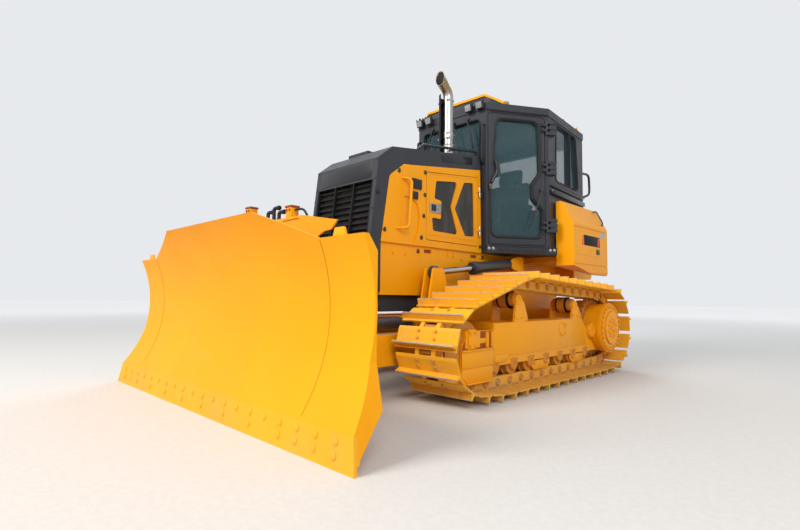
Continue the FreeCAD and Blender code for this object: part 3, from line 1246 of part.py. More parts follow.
    screen = cut("StackShieldRing",
                 bar("StackShieldOuter", S.shield_radius, 560, (S.stack_side, S.stack_station, 2410), "Z"),
                 bar("StackShieldInner", S.shield_radius - 4, 570, (S.stack_side, S.stack_station, 2410), "Z"),
                 block("StackShieldFront", (200, 300, 570), (S.stack_side + 77, S.stack_station, 2410)))
    ties = []
    for up in (2262, 2618):
        tie = block("StackTie%d" % up, (60, 24, 30), (S.stack_side - 57, S.stack_station, up))
        ties.append(cut("StackTieCut%d" % up, tie, bar("StackTieHole%d" % up, S.stack_radius + S.seat_gap,
                                                       50, (S.stack_side, S.stack_station, up), "Z")))
    keep(cut("StackShield", fuse("StackShieldTied", screen, *ties), cover), "stack_shield")


ENGINE_HINGES = (1357, 1747)
ENGINE_WINDOW_FRONT = [
    (1895, 1348, 25), (2250, 1345, 25), (2150, 1595), (2245, 1845, 25), (1935, 1803, 25),
    (1912, 1640, 20), (2010, 1630, 20), (2003, 1462, 20), (1880, 1468, 20)]
ENGINE_WINDOW_REAR = [(2362, 1345, 25), (2512, 1352, 25), (2496, 1880, 25), (2345, 1858, 25), (2205, 1585)]


def engine_door_outline(inset):
    """Outline of an engine door, or of its doorway with inset 0."""
    front, rear = S.engine_door_front + inset, S.engine_door_rear - inset
    top = S.engine_door_top - inset
    return [(front, S.engine_door_bottom + inset, 18), (rear, S.engine_door_bottom + inset, 18),
            (rear, top + S.engine_door_rise, 18), (front, top, 18)]


def grille_face(height):
    """Station of the nose's front face at a height."""
    slope = (S.nose_brow - S.nose_foot) / (S.nose_brow_height - S.nose_foot_height)
    return S.nose_foot + slope * (height - S.nose_foot_height)


def tube(name, route, radius, bend):
    """A round bar along straight runs joined by tangent arcs; route is (side, station, height)."""
    points = [Vector(*[Size.of(c).value for c in point]) for point in route]
    edges = []
    start = points[0]
    for i in range(1, len(points) - 1):
        back = (points[i - 1] - points[i]).normalize()
        ahead = (points[i + 1] - points[i]).normalize()
        half = back.getAngle(ahead) / 2
        reach = bend / math.tan(half)
        enter, leave = points[i] + back * reach, points[i] + ahead * reach
        centre = points[i] + (back + ahead).normalize() * (bend / math.sin(half))
        middle = centre + (points[i] - centre).normalize() * bend
        edges.append(Part.LineSegment(start, enter).toShape())
        edges.append(Part.Arc(enter, middle, leave).toShape())
        start = leave
    edges.append(Part.LineSegment(start, points[-1]).toShape())
    path = Part.Wire(edges)
    ring = Part.Wire(Part.makeCircle(radius, points[0], points[1] - points[0]))
    shape = path.makePipeShell([ring], True, False)
    return solid(name, shape)


def make_exhaust():
    """Bright stack with a thin wall that bends forward and widens to an upright mouth."""
    side, station = S.stack_side.value, S.stack_station.value
    foot = hood_top_at(S.stack_station).value
    top, bend = S.stack_straight_top.value, S.stack_bend.value
    turn = math.radians(50)
    middle = Vector(side, station - bend + bend * math.cos(turn / 2), top + bend * math.sin(turn / 2))
    end = Vector(side, station - bend + bend * math.cos(turn), top + bend * math.sin(turn))
    ahead = Vector(0, -math.sin(turn), math.cos(turn))
    path = Part.Wire([
        Part.LineSegment(Vector(side, station, foot + 60), Vector(side, station, top)).toShape(),
        Part.Arc(Vector(side, station, top), middle, end).toShape()])
    shapes = []
    for radius in (S.stack_radius.value, S.stack_radius.value - S.stack_wall.value):
        ring = Part.Wire(Part.makeCircle(radius, Vector(side, station, foot + 60), Vector(0, 0, 1)))
        tip = Part.makeCone(radius, radius + 12, 240, end, ahead)
        shapes.append(path.makePipeShell([ring], True, False).fuse(tip))
    pipe = solid("StackPipe", shapes[0].cut(shapes[1]))
    mouth = block("StackMouth", (300, 400, 500), (S.stack_side, S.stack_station - S.stack_reach - 200,
                                                  S.stack_straight_top + 200))
    base = bar("StackBase", S.stack_foot_radius, 110, (S.stack_side, S.stack_station,
               hood_top_at(S.stack_station) + 38), "Z")
    clamp = cut("StackClamp", bar("StackClampOuter", S.stack_radius + 6, 26,
                                  (S.stack_side, S.stack_station, 2295), "Z"),
                bar("StackClampHole", S.stack_radius - 1, 30, (S.stack_side, S.stack_station, 2295), "Z"))
    keep(fuse("Exhaust", cut("StackPipeCut", pipe, mouth), base, clamp), "exhaust_stack")


def cab_outline(inset):
    """Top view of the cab, drawn in from its walls by an inset."""
    right = [(S.cab_front_half - inset * 0.552, S.cab_front + inset),
             (S.cab_corner_half - inset * 1.025, S.cab_corner + inset * 0.249),
             (S.cab_rear_half - inset * 0.919, S.cab_rear - inset)]
    left = [(-across, station) for across, station in reversed(right)]
    return right + left


def door_wall(name, corners, start, depth):
    """A plate in the cab's left door wall; outlines run (distance from the front corner, height)."""
    turn = bearing(S.cab_corner - S.cab_front, S.cab_corner_half - S.cab_front_half)
    return plate(name, "XZ", corners, start, depth, (S.cab_front_half, S.cab_front, 0), turn)


def rear_side_wall(name, corners, start, depth):
    """A plate in the left wall behind the door; outlines run (distance from that corner, height)."""
    turn = bearing(S.cab_rear - S.cab_corner, S.cab_rear_half - S.cab_corner_half)
    return plate(name, "XZ", corners, start, depth, (S.cab_corner_half, S.cab_corner, 0), turn)


DOOR_WINDOW = [
    (122, 2562, 60), (572, 2562, 80), (588, 2040, 60), (500, 1925, 50), (500, 1775, 50), (612, 1650, 50),
    (604, 1378, 70), (62, 1378, 70), (56, 1900, 30), (128, 2000, 40), (128, 2085, 40), (92, 2190, 40)]
HINGE_LEVELS = (2512, 2097, 1500)


def make_cab():
    """Cab: base, frame, roof, visors, fixed panes, two doors with panes, seat and levers."""
    wall = S.cab_wall
    base_outer = plan_plate("CabBaseOuter", cab_outline(0), S.cab_floor, S.cab_skirt)
    base_room = plan_plate("CabBaseRoom", cab_outline(wall), S.cab_floor + 35, S.cab_skirt)
    steps = [door_wall("CabSill", [(-4, S.cab_floor), (770, S.cab_floor), (764, S.cab_floor + 78),
                                   (-4, S.cab_floor + 78)], -4, 22)]
    steps.append(mirrored("CabSillRight", steps[0]))
    keep(fuse("CabBaseSolid", cut("CabBase", base_outer, base_room), *steps), "cab_base")

    sill = S.cab_floor + S.cab_skirt
    height = S.cab_roof - sill
    shell = cut("CabWalls", plan_plate("CabWallsOuter", cab_outline(0), sill, height),
                plan_plate("CabWallsRoom", cab_outline(wall), sill - 5, height + 10))
    slope = hypotenuse(S.cab_corner - S.cab_front, S.cab_corner_half - S.cab_front_half)
    opening_rear = slope - 41
    opening = [(18, sill + 0.5, 30), (opening_rear, sill + 0.5, 30), (opening_rear, S.cab_roof - 24, 45),
               (18, S.cab_roof - 24, 45)]
    doorway = door_wall("DoorwayLeft", opening, -wall - 20, wall + 40)
    side_window_outlines = [
        [(212, 2606, 40), (572, 2606, 12), (574, 2008, 12), (188, 2008, 60)],
        [(606, 2606, 12), (762, 2606, 50), (834, 2008, 60), (608, 2008, 12)]]
    side_windows = [rear_side_wall("SideWindow%d" % at, outline, -wall - 20, wall + 40)
                    for at, outline in enumerate(side_window_outlines)]
    windscreen_outline = [(-370, S.cab_roof - 93, 40), (-370, 1900, 40), (370, 1900, 40),
                          (370, S.cab_roof - 93, 40)]
    windscreen = front_plate("Windscreen", windscreen_outline, S.cab_front - 20, wall + 40)
    rear_outline = [(-600, S.cab_roof - 80, 60), (-600, 1800, 60), (600, 1800, 60),
                    (600, S.cab_roof - 80, 60)]
    rear_window = front_plate("RearWindow", rear_outline, S.cab_rear - wall - 20, wall + 40)
    sides = group("CabSideOpenings", doorway, *side_windows)
    walls = cut("CabOpenings", shell, sides, mirrored("CabSideOpeningsRight", sides), windscreen,
                rear_window)

    hinge = slope - 27
    knuckle = 12
    ahead = (S.cab_corner - S.cab_front) / slope
    aside = (S.cab_corner_half - S.cab_front_half) / slope
    hinge_side = S.cab_front_half + aside * hinge + ahead * knuckle
    hinge_station = S.cab_front + ahead * hinge - aside * knuckle

    def beside_door(distance, out):
        """A point of the plan from its distance along the door wall and out of it."""
        return (S.cab_front_half + aside * distance + ahead * out,
                S.cab_front + ahead * distance - aside * out)

    fins = []
    leaf_fins = []
    cover_end = hinge + 104
    behind = (S.cab_corner_half - 8, S.cab_corner + 92)
    for level in HINGE_LEVELS:
        for low in (level - 70, level - 14, level + 42):
            fins.append(bar("HingePinLow%d" % low, knuckle, 28, (hinge_side, hinge_station, low + 14), "Z"))
            fins.append(plan_plate("HingeFixed%d" % low, [
                beside_door(hinge, -1), beside_door(hinge, 2 * knuckle),
                beside_door(cover_end, 2 * knuckle + 6), behind], low, 28))
        fins.append(plan_plate("HingeCover%d" % level, [
            beside_door(hinge + 34, -1), beside_door(hinge + 34, 2 * knuckle - 6),
            beside_door(cover_end - 5, 2 * knuckle), behind], level - 70, 140))
        for low in (level - 41.7, level + 14.3):
            leaf_fins.append(bar("HingePinHigh%d" % round(low), knuckle - 0.3, 27.4,
                                 (hinge_side, hinge_station, low + 13.7), "Z"))
            leaf_fins.append(door_wall("HingeLeaf%d" % round(low), [
                (hinge - 62, low), (hinge, low), (hinge, low + 27.4), (hinge - 62, low + 27.4)],
                0, 2 * knuckle - 0.3))
    hinges = fuse("CabHinges", *fins)
    frame = fuse("CabFrameSolid", walls, hinges, mirrored("CabHingesRight", hinges))
    keep(frame, "cab_frame")

    gap = S.panel_gap
    leaf = door_wall("DoorLeaf", [
        (18 + gap, sill + gap, 25), (opening_rear - gap, sill + gap, 25),
        (opening_rear - gap, S.cab_roof - 24 - gap, 40), (18 + gap, S.cab_roof - 24 - gap, 40)],
        -wall, wall)
    window = door_wall("DoorWindow", DOOR_WINDOW, -wall - 5, wall + 10)
    door = fuse("DoorSolid", cut("DoorCut", leaf, window), *leaf_fins)
    grip = door_wall("DoorGrip", [(78, 2138, 8), (100, 2138, 8), (116, 2015, 30), (54, 1896, 8), (36, 1906, 8),
                                  (94, 2018, 30)], 22, 14)
    lugs = [door_wall("DoorGripLug%d" % up, [(out, up), (out + 14, up), (out + 14, up + 14), (out, up + 14)],
                      -1, 24) for out, up in ((83, 2115), (41, 1904))]
    left_door = keep(fuse("DoorLeft", door, grip, *lugs), "cab_door_left")
    keep(mirrored("DoorRight", left_door), "cab_door_right")
    left_pane = keep(door_wall("DoorPane", DOOR_WINDOW, -wall / 2 - 4, S.glass_thickness),
                     "door_glass_left")
    keep(mirrored("DoorPaneRight", left_pane), "door_glass_right")
    panes = [front_plate("WindscreenPane", windscreen_outline, S.cab_front + wall / 2, S.glass_thickness),
             front_plate("RearPane", rear_outline, S.cab_rear - wall / 2, S.glass_thickness)]
    for at, outline in enumerate(side_window_outlines):
        pane = rear_side_wall("SidePane%d" % at, outline, -wall / 2 - 4, S.glass_thickness)
        panes += [pane, mirrored("SidePaneRight%d" % at, pane)]
    keep(group("CabPanes", *panes), "cab_glass")

    over = 8
    eaves = S.cab_roof + S.roof_edge
    crest = eaves + S.brow_rise
    slab = plan_plate("RoofSlab", cab_outline(Size.of(-over)), S.cab_roof, S.roof_edge)
    cap = loft("RoofCapWhole", [(cab_outline(Size.of(12)), eaves - 2),
                                (cab_outline(Size.of(60)), eaves + 24),
                                (cab_outline(Size.of(240)), eaves + S.roof_rise)])
    cap = common("RoofCap", cap, block("RoofCapLength", (2000, 1130, 200), (0, 3455, eaves)))
    brow_face = front_plate("BrowFace", [
        (-575, eaves - 11), (575, eaves - 11), (384, crest), (-384, crest)], S.cab_front + 8, 320)
    brow_side = side_plate("BrowSide", [
        (S.cab_front + 8, eaves - 11), (S.cab_front + 85, crest), (2850, crest), (2950, eaves - 11)], 0, 1200)
    brow_plan = plan_plate("BrowPlan", cab_outline(Size.of(-over)), S.cab_roof, 300)
    brow = common("RoofBrow", common("BrowRough", brow_face, brow_side), brow_plan)
    keep(fuse("CabRoof", slab, cap, brow), "cab_roof")

    visor_band = front_plate("VisorBand", [
        (-557, eaves + 1), (-384, crest), (384, crest), (557, eaves + 1), (567, eaves + 24),
        (390, crest + 24), (-390, crest + 24), (-567, eaves + 24)], S.cab_front + 60, 200)
    visor_plan = plan_plate("VisorPlan", [
        (-376, 2712, 15), (376, 2712, 15), (600, 2800, 15), (600, 2880), (-600, 2880), (-600, 2800, 15)],
        S.cab_roof, 400)
    keep(common("VisorFront", visor_band, visor_plan), "roof_visor_front")
    lip_foot = S.cab_rear + over + S.seat_gap
    lip = side_plate("VisorRear", [
        (4030, eaves), (4140, eaves + 71), (4172, eaves + 76), (4290, eaves - 49), (4284, eaves - 81),
        (lip_foot, eaves - 30), (lip_foot, eaves)], 0, 1400)
    keep(lip, "roof_visor_rear")

    floor = S.cab_floor + 35
    seat_parts = [
        block("SeatBase", (430, 420, 240), (0, 3520, floor + 120)),
        side_plate("SeatCushion", [(3260, floor + 235, 30), (3740, floor + 235, 30), (3740, floor + 335, 40),
                                   (3250, floor + 365, 50)], 0, 500),
        side_plate("SeatBack", [(3650, floor + 300, 30), (3760, floor + 300, 30), (3880, floor + 900, 50),
                                (3770, floor + 910, 50)], 0, 480),
        side_plate("SeatHead", [(3775, floor + 905, 20), (3870, floor + 895, 20), (3900, floor + 1080, 40),
                                (3810, floor + 1090, 40)], 0, 260)]
    keep(fuse("Seat", *seat_parts), "seat")
    console = []
    for side, sign in SIDES:
        console.append(side_plate("Armrest" + side, [
            (3180, floor), (3620, floor), (3680, floor + 520, 40), (3160, floor + 560, 40)],
            sign * 350, 130))
        console.append(bar("Lever" + side, 14, 160, (sign * 350, 3240, floor + 620), "Z"))
        console.append(bar("LeverKnob" + side, 30, 60, (sign * 350, 3240, floor + 700), "Z"))
    console.append(side_plate("Dash", [
        (S.cab_front + wall + 1, floor), (S.cab_front + wall + 130, floor),
        (S.cab_front + wall + 210, floor + 560, 40), (S.cab_front + wall + 1, floor + 600)], 0, 500))
    keep(group("Console", *console), "console")


def loft(name, sections):
    """A ruled solid between polygons, each given as an outline of (side, station) and a height."""
    wires = []
    for corners, height in sections:
        level = Size.of(height).value
        points = [Vector(Size.of(c[0]).value, Size.of(c[1]).value, level) for c in corners]
        points.append(points[0])
        wires.append(Part.makePolygon(points))
    return solid(name, Part.makeLoft(wires, True, True))


def make_rear():
    """Fender boxes beside the cab and the fuel tank behind it."""
    outer, inner = S.fender_outer, beside_cab(S.fender_front)
    body = front_plate("FenderBody", [
        (inner - 90, 1130), (outer, 1000, 30), (outer, 1530, 40), (outer - 120, 1770, 40),
        (inner - 90, 1770)], S.fender_front, S.fender_rear - S.fender_front)
    plan = plan_plate("FenderPlan", [
        (inner, S.fender_front), (outer + 10, S.fender_front), (outer + 10, S.fender_rear),
        (beside_cab(S.fender_rear), S.fender_rear)], 900, 1000)
    wedge = side_plate("FenderWedge", [
        (S.fender_front - 1, 900), (S.fender_rear - 300, 1000), (S.fender_front - 1, 1100)],
        inner + 50, 600)
    length = S.fender_rear - S.fender_front
    middle = (S.fender_rear + S.fender_front) / 2
    groove = [block("FenderGroove%d" % up, (12, length + 2, 8), (outer, middle, up))
              for up in (1120, 1500)]
    left = keep(cut("FenderLeft", common("FenderRough", body, plan), wedge, *groove), "fender_left")
    keep(mirrored("FenderRight", left), "fender_right")
    tank = side_plate("Tank", [
        (S.hull_rear, 1000), (S.tank_rear - 30, 1000, 50), (S.tank_rear, 1500, 60),
        (S.tank_rear - 180, 1800, 60), (S.hull_rear, 1900, 30)], 0, S.tank_width)
    keep(tank, "fuel_tank")


make_blade()
make_swing_frame()
make_push_frame()
make_cylinders()
make_tracks()
make_running_gear()
make_track_frames()
make_chassis()
make_power()
make_hood()
make_exhaust()
make_cab()
make_rear()
doc.recompute()

faults = []
for item in doc.Objects:
    if "Invalid" in item.State or "Error" in item.State:
        faults.append("%s (%s): state %s" % (item.Name, item.Label, item.State))
for item in PIECES:
    if item.Shape.isNull() or not item.Shape.isValid() or not item.Shape.Solids:
        faults.append("%s (%s): shape is null or not valid" % (item.Name, item.Label))
for fault in faults:
    print(fault)
if faults:
    raise RuntimeError("%d faults" % len(faults))

os.makedirs("parts", exist_ok=True)
for item in PIECES:
    item.Shape.exportStep("parts/%s.step" % item.Label)
    box = item.Shape.BoundBox
    print("%-22s x %6.0f..%5.0f  y %6.0f..%5.0f  z %5.0f..%5.0f  solids %d  volume %.4f m3" % (
        item.Label, box.XMin, box.XMax, box.YMin, box.YMax, box.ZMin, box.ZMax,
        len(item.Shape.Solids), item.Shape.Volume / 1e9))
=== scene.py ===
"""Finishes, trim and studio for a crawler bulldozer with an angling and tilting blade.

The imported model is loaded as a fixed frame. Every finish is procedural, every added piece
rides on a body of the frame, and sizes are in metres in the frame's own coordinates: the
blade points toward -Y, the machine's left side toward +X and the ground is at Z 0.
"""
from __future__ import annotations

import json
import logging
import math
from dataclasses import dataclass, field
from enum import Enum
from typing import Callable, Iterable, Sequence

import bmesh
import bpy
from mathutils import Matrix, Vector
from mathutils.bvhtree import BVHTree

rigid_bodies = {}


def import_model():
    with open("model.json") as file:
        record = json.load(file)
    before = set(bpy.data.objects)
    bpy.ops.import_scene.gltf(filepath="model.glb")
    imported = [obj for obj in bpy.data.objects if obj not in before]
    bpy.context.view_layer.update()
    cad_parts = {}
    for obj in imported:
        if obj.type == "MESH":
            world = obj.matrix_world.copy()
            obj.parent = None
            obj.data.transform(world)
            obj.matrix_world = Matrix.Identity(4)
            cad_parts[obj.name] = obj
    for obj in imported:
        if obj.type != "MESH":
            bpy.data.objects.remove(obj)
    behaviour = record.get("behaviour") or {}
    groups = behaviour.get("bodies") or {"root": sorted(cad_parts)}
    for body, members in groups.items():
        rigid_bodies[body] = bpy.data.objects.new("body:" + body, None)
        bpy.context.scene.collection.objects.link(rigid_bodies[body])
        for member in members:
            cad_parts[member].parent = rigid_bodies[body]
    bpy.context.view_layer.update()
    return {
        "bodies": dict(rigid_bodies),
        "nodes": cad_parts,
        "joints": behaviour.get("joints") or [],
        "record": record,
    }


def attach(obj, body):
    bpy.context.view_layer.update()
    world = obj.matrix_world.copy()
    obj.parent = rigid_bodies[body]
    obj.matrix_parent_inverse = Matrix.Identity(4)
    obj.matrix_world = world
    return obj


logging.basicConfig(level=logging.INFO, format="%(message)s")
LOG = logging.getLogger("bulldozer")

Point = tuple[float, float, float]
Colour = tuple[float, float, float]
Outline = tuple[tuple[float, float], ...]
Corner = tuple[float, float, float]
SIDES = (("left", 1.0), ("right", -1.0))
FRONT_TIP = -2.4


def station(distance: float) -> float:
    """Y coordinate of a place given by its distance in metres behind the cutting edge's tip."""
    return FRONT_TIP + distance


class Axis(Enum):
    """Direction that a round piece points along, as the turn of a primitive that stands on Z."""

    X = (0.0, math.pi / 2, 0.0)
    Y = (math.pi / 2, 0.0, 0.0)
    Z = (0.0, 0.0, 0.0)


class Signal:
    """An output socket whose operators add Math nodes to its own tree."""

    def __init__(self, graph: Graph, socket: bpy.types.NodeSocket) -> None:
        """Wrap a socket.

        Args:
            graph: The graph that the socket's node stands in.
            socket: The output to wrap.
        """
        self.graph = graph
        self.socket = socket

    def _math(self, operation: str, *values: Signal | float, clamp: bool = False) -> Signal:
        """Add one Math node and return its result."""
        settings = {"operation": operation, "use_clamp": clamp}
        return self.graph.node("ShaderNodeMath", settings, dict(enumerate(values)))

    def __add__(self, other: Signal | float) -> Signal:
        """Sum of two values."""
        return self._math("ADD", self, other)

    def __sub__(self, other: Signal | float) -> Signal:
        """Difference of two values."""
        return self._math("SUBTRACT", self, other)

    def __rsub__(self, other: float) -> Signal:
        """A number less this value."""
        return self._math("SUBTRACT", other, self)

    def __mul__(self, other: Signal | float) -> Signal:
        """Product of two values."""
        return self._math("MULTIPLY", self, other)

    __radd__ = __add__
    __rmul__ = __mul__

    def maximum(self, other: Signal | float) -> Signal:
        """The larger of two values."""
        return self._math("MAXIMUM", self, other)

    def power(self, exponent: float) -> Signal:
        """This value raised to an exponent."""
        return self._math("POWER", self, exponent)

    def clamped(self) -> Signal:
        """This value held between 0 and 1."""
        return self._math("ADD", self, 0.0, clamp=True)

    def ramp(self, low: float, high: float) -> Signal:
        """Smooth step from 0 at low to 1 at high; low may be the larger."""
        settings = {"interpolation_type": "SMOOTHSTEP"}
        start, end = (0.0, 1.0) if low < high else (1.0, 0.0)
        limits = {"From Min": min(low, high), "From Max": max(low, high), "To Min": start, "To Max": end}
        return self.graph.node("ShaderNodeMapRange", settings, {"Value": self, **limits})


class Graph:
    """Node tree of one material around one Principled shader."""

    def __init__(self, name: str) -> None:
        """Start an empty material.

        Args:
            name: The material's name.
        """
        self.material = bpy.data.materials.new(name)
        self.material.use_nodes = True
        self.tree = self.material.node_tree
        self.tree.nodes.clear()
        self.shader = self.tree.nodes.new("ShaderNodeBsdfPrincipled")
        output = self.tree.nodes.new("ShaderNodeOutputMaterial")
        self.tree.links.new(self.shader.outputs["BSDF"], output.inputs["Surface"])

    def node(self, kind: str, settings: dict | None = None, inputs: dict | None = None,
             output: int | str = 0) -> Signal:
        """Add any node.

        Args:
            kind: The node's type.
            settings: Properties set before the sockets, such as an operation.
            inputs: Value or Signal for each socket, by name or number.
            output: The output to return.

        Returns:
            The chosen output.
        """
        made = self.tree.nodes.new(kind)
        for name, value in (settings or {}).items():
            setattr(made, name, value)
        for key, value in (inputs or {}).items():
            self.feed(made.inputs[key], value)
        return Signal(self, made.outputs[output])

    def feed(self, socket: bpy.types.NodeSocket, value: Signal | float | Sequence[float]) -> None:
        """Link a Signal to a socket, or set the socket's own value."""
        if isinstance(value, Signal):
            self.tree.links.new(value.socket, socket)
        elif isinstance(value, (int, float)):
            socket.default_value = value
        else:
            filled = list(value) + [1.0] * (len(socket.default_value) - len(value))
            socket.default_value = filled

    def set(self, **sockets: Signal | float | Sequence[float]) -> None:
        """Feed the shader's sockets, named with underscores for spaces."""
        for name, value in sockets.items():
            self.feed(self.shader.inputs[name.replace("_", " ")], value)

    def place(self) -> Signal:
        """Object coordinates of the surface."""
        return self.node("ShaderNodeTexCoord", output="Object")

    def height(self) -> Signal:
        """Height above the ground."""
        return self.node("ShaderNodeSeparateXYZ", inputs={"Vector": self.place()}, output="Z")

    def upward(self) -> Signal:
        """1 where the surface faces up and 0 where it is upright or faces down."""
        normal = self.node("ShaderNodeNewGeometry", output="Normal")
        return self.node("ShaderNodeSeparateXYZ", inputs={"Vector": normal}, output="Z").clamped()

    def stretched(self, scale: Point) -> Signal:
        """Object coordinates scaled along each axis."""
        return self.node("ShaderNodeMapping", inputs={"Vector": self.place(), "Scale": scale})

    def noise(self, scale: float, detail: float = 3.0, stretch: Point = (1.0, 1.0, 1.0),
              distortion: float = 0.0) -> Signal:
        """Noise between about 0.3 and 0.7, scale counted per metre."""
        values = {"Vector": self.stretched(stretch), "Scale": scale, "Detail": detail,
                  "Distortion": distortion}
        return self.node("ShaderNodeTexNoise", inputs=values)

    def mix(self, factor: Signal | float, first: Signal | Colour, second: Signal | Colour) -> Signal:
        """Blend of two colours."""
        made = self.tree.nodes.new("ShaderNodeMix")
        made.data_type = "RGBA"
        self.feed(made.inputs["Factor"], factor)
        for socket, value in ((made.inputs[6], first), (made.inputs[7], second)):
            self.feed(socket, value)
        return Signal(self, made.outputs[2])

    def bump(self, height: Signal, distance: float, strength: float = 1.0) -> Signal:
        """Normal raised by a height signal over a distance in metres."""
        return self.node("ShaderNodeBump", inputs={"Height": height, "Distance": distance,
                                                   "Strength": strength})


PAINT_YELLOW: Colour = (0.88, 0.355, 0.002)
PAINT_SHADE: Colour = (0.82, 0.312, 0.002)
DUST: Colour = (0.46, 0.33, 0.20)
SOIL: Colour = (0.30, 0.20, 0.11)


@dataclass(frozen=True)
class Paint:
    """Sprayed paint with orange peel, a little mottling and dust that settles low and on tops."""

    name: str
    colour: Colour
    shade: Colour
    roughness: float = 0.36
    coat: float = 0.12
    peel: float = 0.0004
    dust: float = 0.07
    specular: float = 0.16
    dust_top: float = 0.9
    streaks: float = 0.0

    def build(self) -> bpy.types.Material:
        """Make the material."""
        graph = Graph(self.name)
        mottle = graph.noise(1.7, 4.0).ramp(0.35, 0.65)
        colour = graph.mix(mottle * 0.45, self.colour, self.shade)
        speck = graph.noise(38.0, 6.0)
        cloud = graph.noise(3.1, 5.0, distortion=0.6).ramp(0.42, 0.72)
        low = graph.height().ramp(self.dust_top, 0.0)
        settled = (low * 0.75 + graph.upward() * 0.35) * (cloud * 0.7 + 0.3) * (speck + 0.5)
        amount = (settled * self.dust).clamped()
        if self.streaks:
            drag = graph.noise(26.0, 5.0, (0.06, 1.0, 1.4)).ramp(0.53, 0.70)
            amount = (amount + drag * cloud * self.streaks).clamped()
        colour = graph.mix(amount, colour, DUST)
        rough = graph.noise(7.0, 4.0).ramp(0.3, 0.7) * 0.10 + self.roughness + amount * 0.4
        peel = graph.noise(210.0, 2.0)
        graph.set(Base_Color=colour, Roughness=rough, Specular_IOR_Level=self.specular,
                  Coat_Weight=self.coat, Coat_Roughness=0.12, Normal=graph.bump(peel, self.peel))
        return graph.material


@dataclass(frozen=True)
class TrackPaint:
    """Paint on shoes and links, with soil in blotches, in fine specks and near the ground."""

    name: str
    colour: Colour
    soil: float
    roughness: float = 0.5

    def build(self) -> bpy.types.Material:
        """Make the material."""
        graph = Graph(self.name)
        blotch = graph.noise(5.0, 6.0, distortion=0.8).ramp(0.44, 0.68)
        fine = graph.noise(60.0, 5.0).ramp(0.38, 0.66)
        low = graph.height().ramp(0.22, 0.01)
        amount = ((blotch * 0.6 + fine * 0.25 + low * 0.7) * self.soil).clamped()
        colour = graph.mix(amount, self.colour, graph.mix(fine, DUST, SOIL))
        rough = amount * 0.35 + self.roughness
        relief = fine * amount + graph.noise(140.0, 3.0) * 0.3
        graph.set(Base_Color=colour, Roughness=rough, Specular_IOR_Level=0.25,
                  Normal=graph.bump(relief, 0.0015))
        return graph.material


@dataclass(frozen=True)
class Metal:
    """Bare metal with fine scratches along one direction."""

    name: str
    colour: Colour
    roughness: float
    grain: Point = (1.0, 1.0, 1.0)
    scratch: float = 0.08

    def build(self) -> bpy.types.Material:
        """Make the material."""
        graph = Graph(self.name)
        lines = graph.noise(120.0, 4.0, self.grain)
        stain = graph.noise(9.0, 4.0).ramp(0.4, 0.75)
        dark = tuple(c * 0.72 for c in self.colour)
        graph.set(Base_Color=graph.mix(stain * 0.5, self.colour, dark), Metallic=1.0,
                  Roughness=lines * self.scratch + self.roughness + stain * 0.06,
                  Normal=graph.bump(lines, 0.0002))
        return graph.material


@dataclass(frozen=True)
class Exhaust:
    """Polished pipe that turns straw and brown toward its hot mouth."""

    name: str
    cool_height: float = 2.66
    hot_height: float = 2.74

    def build(self) -> bpy.types.Material:
        """Make the material."""
        graph = Graph(self.name)
        heat = graph.height().ramp(self.cool_height, self.hot_height)
        cloud = graph.noise(9.0, 4.0).ramp(0.35, 0.6)
        straw = graph.mix(heat * (cloud * 0.6 + 0.4), (0.42, 0.42, 0.41), (0.34, 0.25, 0.14))
        lines = graph.noise(60.0, 3.0, (1.0, 1.0, 0.05))
        graph.set(Base_Color=straw, Metallic=1.0, Roughness=lines * 0.10 + 0.28)
        return graph.material


@dataclass(frozen=True)
class Glass:
    """Tinted pane that lets the cab show through."""

    name: str
    colour: Colour
    alpha: float

    def build(self) -> bpy.types.Material:
        """Make the material."""
        graph = Graph(self.name)
        smear = graph.noise(6.0, 5.0, (1.0, 1.0, 0.4)).ramp(0.5, 0.75)
        graph.set(Base_Color=self.colour, Roughness=smear * 0.05 + 0.03, Alpha=smear * 0.05 + self.alpha,
                  Coat_Weight=0.6, Coat_Roughness=0.02)
        graph.material.surface_render_method = "BLENDED"
        return graph.material


@dataclass(frozen=True)
class Plain:
    """Moulded plastic, rubber or a lens: one colour with grain and uneven roughness."""

    name: str
    colour: Colour
    roughness: float
    grain: float = 160.0
    depth: float = 0.0004
    metallic: float = 0.0
    coat: float = 0.0
    specular: float = 0.3

    def build(self) -> bpy.types.Material:
        """Make the material."""
        graph = Graph(self.name)
        cloud = graph.noise(4.0, 4.0).ramp(0.35, 0.7)
        light = tuple(min(1.0, c * 1.35 + 0.004) for c in self.colour)
        graph.set(Base_Color=graph.mix(cloud, self.colour, light), Metallic=self.metallic,
                  Roughness=cloud * 0.1 + self.roughness, Coat_Weight=self.coat,
                  Specular_IOR_Level=self.specular,
                  Normal=graph.bump(graph.noise(self.grain, 3.0), self.depth))
        return graph.material


@dataclass(frozen=True)
class Mesh:
    """Punched sheet behind the engine doors' windows: rows of small dark holes."""

    name: str
    colour: Colour
    pitch: float = 0.011
    spread: Point = (0.0, 1.0, 1.0)

    def build(self) -> bpy.types.Material:
        """Make the material."""
        graph = Graph(self.name)
        values = {"Vector": graph.stretched(self.spread), "Scale": 1.0 / self.pitch,
                  "Randomness": 0.0}
        spot = graph.node("ShaderNodeTexVoronoi", {"voronoi_dimensions": "3D"}, values)
        sheet = spot.ramp(0.30, 0.36)
        cloud = graph.noise(7.0, 5.0, (1.0, 1.0, 0.3)).ramp(0.4, 0.7)
        face = graph.mix(cloud, self.colour, (0.085, 0.085, 0.075))
        graph.set(Base_Color=graph.mix(sheet, (0.004, 0.004, 0.004), face),
                  Roughness=0.62 - sheet * 0.22, Normal=graph.bump(sheet, 0.002))
        return graph.material


